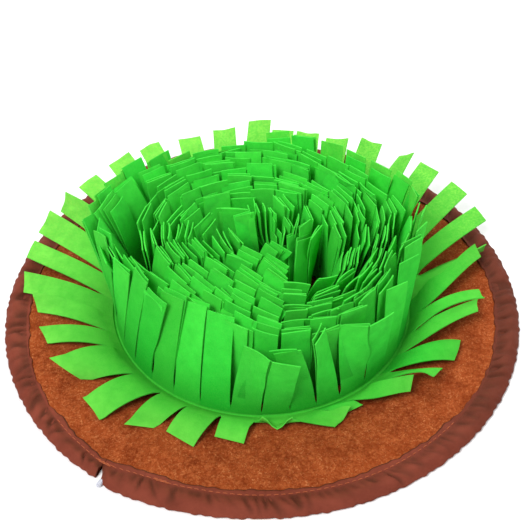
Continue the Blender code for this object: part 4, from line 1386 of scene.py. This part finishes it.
def make_fringe():
    chance = random.Random(FRINGE_SEED)
    looks = random.Random(LOOKS_SEED)
    materials = [
        green_felt("green felt", (0.003, 0.30, 0.016), (0.032, 0.74, 0.056),
                   (0.190, 0.70, 0.078), 0.16),
        green_felt("felt's cut edge", (0.008, 0.36, 0.024), (0.036, 0.65, 0.054),
                   (0.15, 0.68, 0.078), 0.4),
    ]
    for number, (_, seam_radius, count) in enumerate(BANDS):
        outside = seam_radius + HALF_SPREAD
        inside = seam_radius - HALF_SPREAD
        if number == 0:
            wall = wall_fingers(inside)
            tops = [finger.frame(1.0) for finger in wall]
            outline = inner_outline([TopEdge(middle, side, finger.half)
                                     for finger, (middle, side, _) in zip(wall, tops)])
            make_band(number, skirt_fingers(outside), "skirt", wall, looks, materials)
            continue
        outer_slits = uneven_slits(count, chance)
        inner_slits = outer_slits if number >= SHARED_SLITS_FROM else uneven_slits(count, chance)
        layer = 2 * number - 1
        outer, outline = inner_fingers(outside, outer_slits, layer, outline, chance)
        inner, outline = inner_fingers(inside, inner_slits, layer + 1, outline, chance)
        make_band(number, outer, "standing", inner, looks, materials)


# ---- the studio
FLOOR = 6.0                   # half its width
SKY = 0.44                    # strength of the light from all round
LIGHTS = (
    # name, place, target, size, power
    ("key", (-0.9, -1.1, 1.9), (0.0, 0.0, 0.03), 1.1, 44.0),
    ("fill", (1.5, -0.4, 1.4), (0.0, 0.0, 0.03), 1.4, 9.0),
    ("back", (0.3, 1.6, 1.3), (0.0, 0.0, 0.05), 1.2, 28.0),
)


def make_stage():
    mesh = bpy.data.meshes.new("floor")
    corners = [(FLOOR * x, FLOOR * y, 0.0) for x, y in ((-1, -1), (1, -1), (1, 1), (-1, 1))]
    mesh.from_pydata(corners, [], [(0, 1, 2, 3)])
    floor = add_object("floor", mesh)
    pale = (0.95, 0.95, 0.95)
    paint = Shader("pale floor", pale, 0.8)
    paint.set(Base_Color=paint.mix(paint.noise(3.0), pale, (0.97, 0.97, 0.97)))
    paint.set(Specular_IOR_Level=0.1)
    mesh.materials.append(paint.material)


def make_lights():
    world = bpy.data.worlds.new("studio")
    world.use_nodes = True
    backdrop = world.node_tree.nodes["Background"]
    backdrop.inputs["Color"].default_value = (1.0, 1.0, 1.0, 1.0)
    backdrop.inputs["Strength"].default_value = SKY
    bpy.context.scene.world = world
    for name, place, target, size, power in LIGHTS:
        light = bpy.data.lights.new(name, "AREA")
        light.shape = "DISK"
        light.size = size
        light.energy = power
        lamp = add_object(name, light)
        turn = (Vector(target) - Vector(place)).to_track_quat("-Z", "Y").to_matrix().to_4x4()
        lamp.matrix_world = Matrix.Translation(place) @ turn


# The camera that was fitted to the photograph, in degrees, metres, pixels and radians.
CAMERA_ELEVATION = 45.86
CAMERA_DISTANCE = 1.15
FOCAL_PIXELS = 1168.0
CENTRE_PIXEL = (261.9, 305.8)
CAMERA_ROLL = -0.011
PHOTO_WIDTH, PHOTO_HEIGHT = 521, 520
SENSOR_WIDTH = 36.0


def make_camera():
    elevation = math.radians(CAMERA_ELEVATION)
    place = Vector((0.0, -math.cos(elevation), math.sin(elevation))) * CAMERA_DISTANCE
    ahead = -place.normalized()
    right = Vector((1.0, 0.0, 0.0))
    up = right.cross(ahead)
    cosine, sine = math.cos(CAMERA_ROLL), math.sin(CAMERA_ROLL)
    rolled_right = right * cosine + up * sine
    rolled_up = up * cosine - right * sine
    turn = Matrix((rolled_right, rolled_up, -ahead)).transposed().to_4x4()
    lens = bpy.data.cameras.new("camera")
    camera = add_object("camera", lens)
    camera.matrix_world = Matrix.Translation(place) @ turn
    lens.sensor_width = SENSOR_WIDTH
    lens.lens = FOCAL_PIXELS * SENSOR_WIDTH / PHOTO_WIDTH
    lens.shift_x = (PHOTO_WIDTH / 2.0 - CENTRE_PIXEL[0]) / PHOTO_WIDTH
    lens.shift_y = (CENTRE_PIXEL[1] - PHOTO_HEIGHT / 2.0) / PHOTO_WIDTH
    bpy.context.scene.camera = camera


def main():
    bpy.context.scene.view_settings.view_transform = "Standard"
    make_camera()
    make_grip()
    make_felt()
    make_casing()
    make_stitches()
    make_cord_tip()
    make_fringe()
    make_stage()
    make_lights()


main()
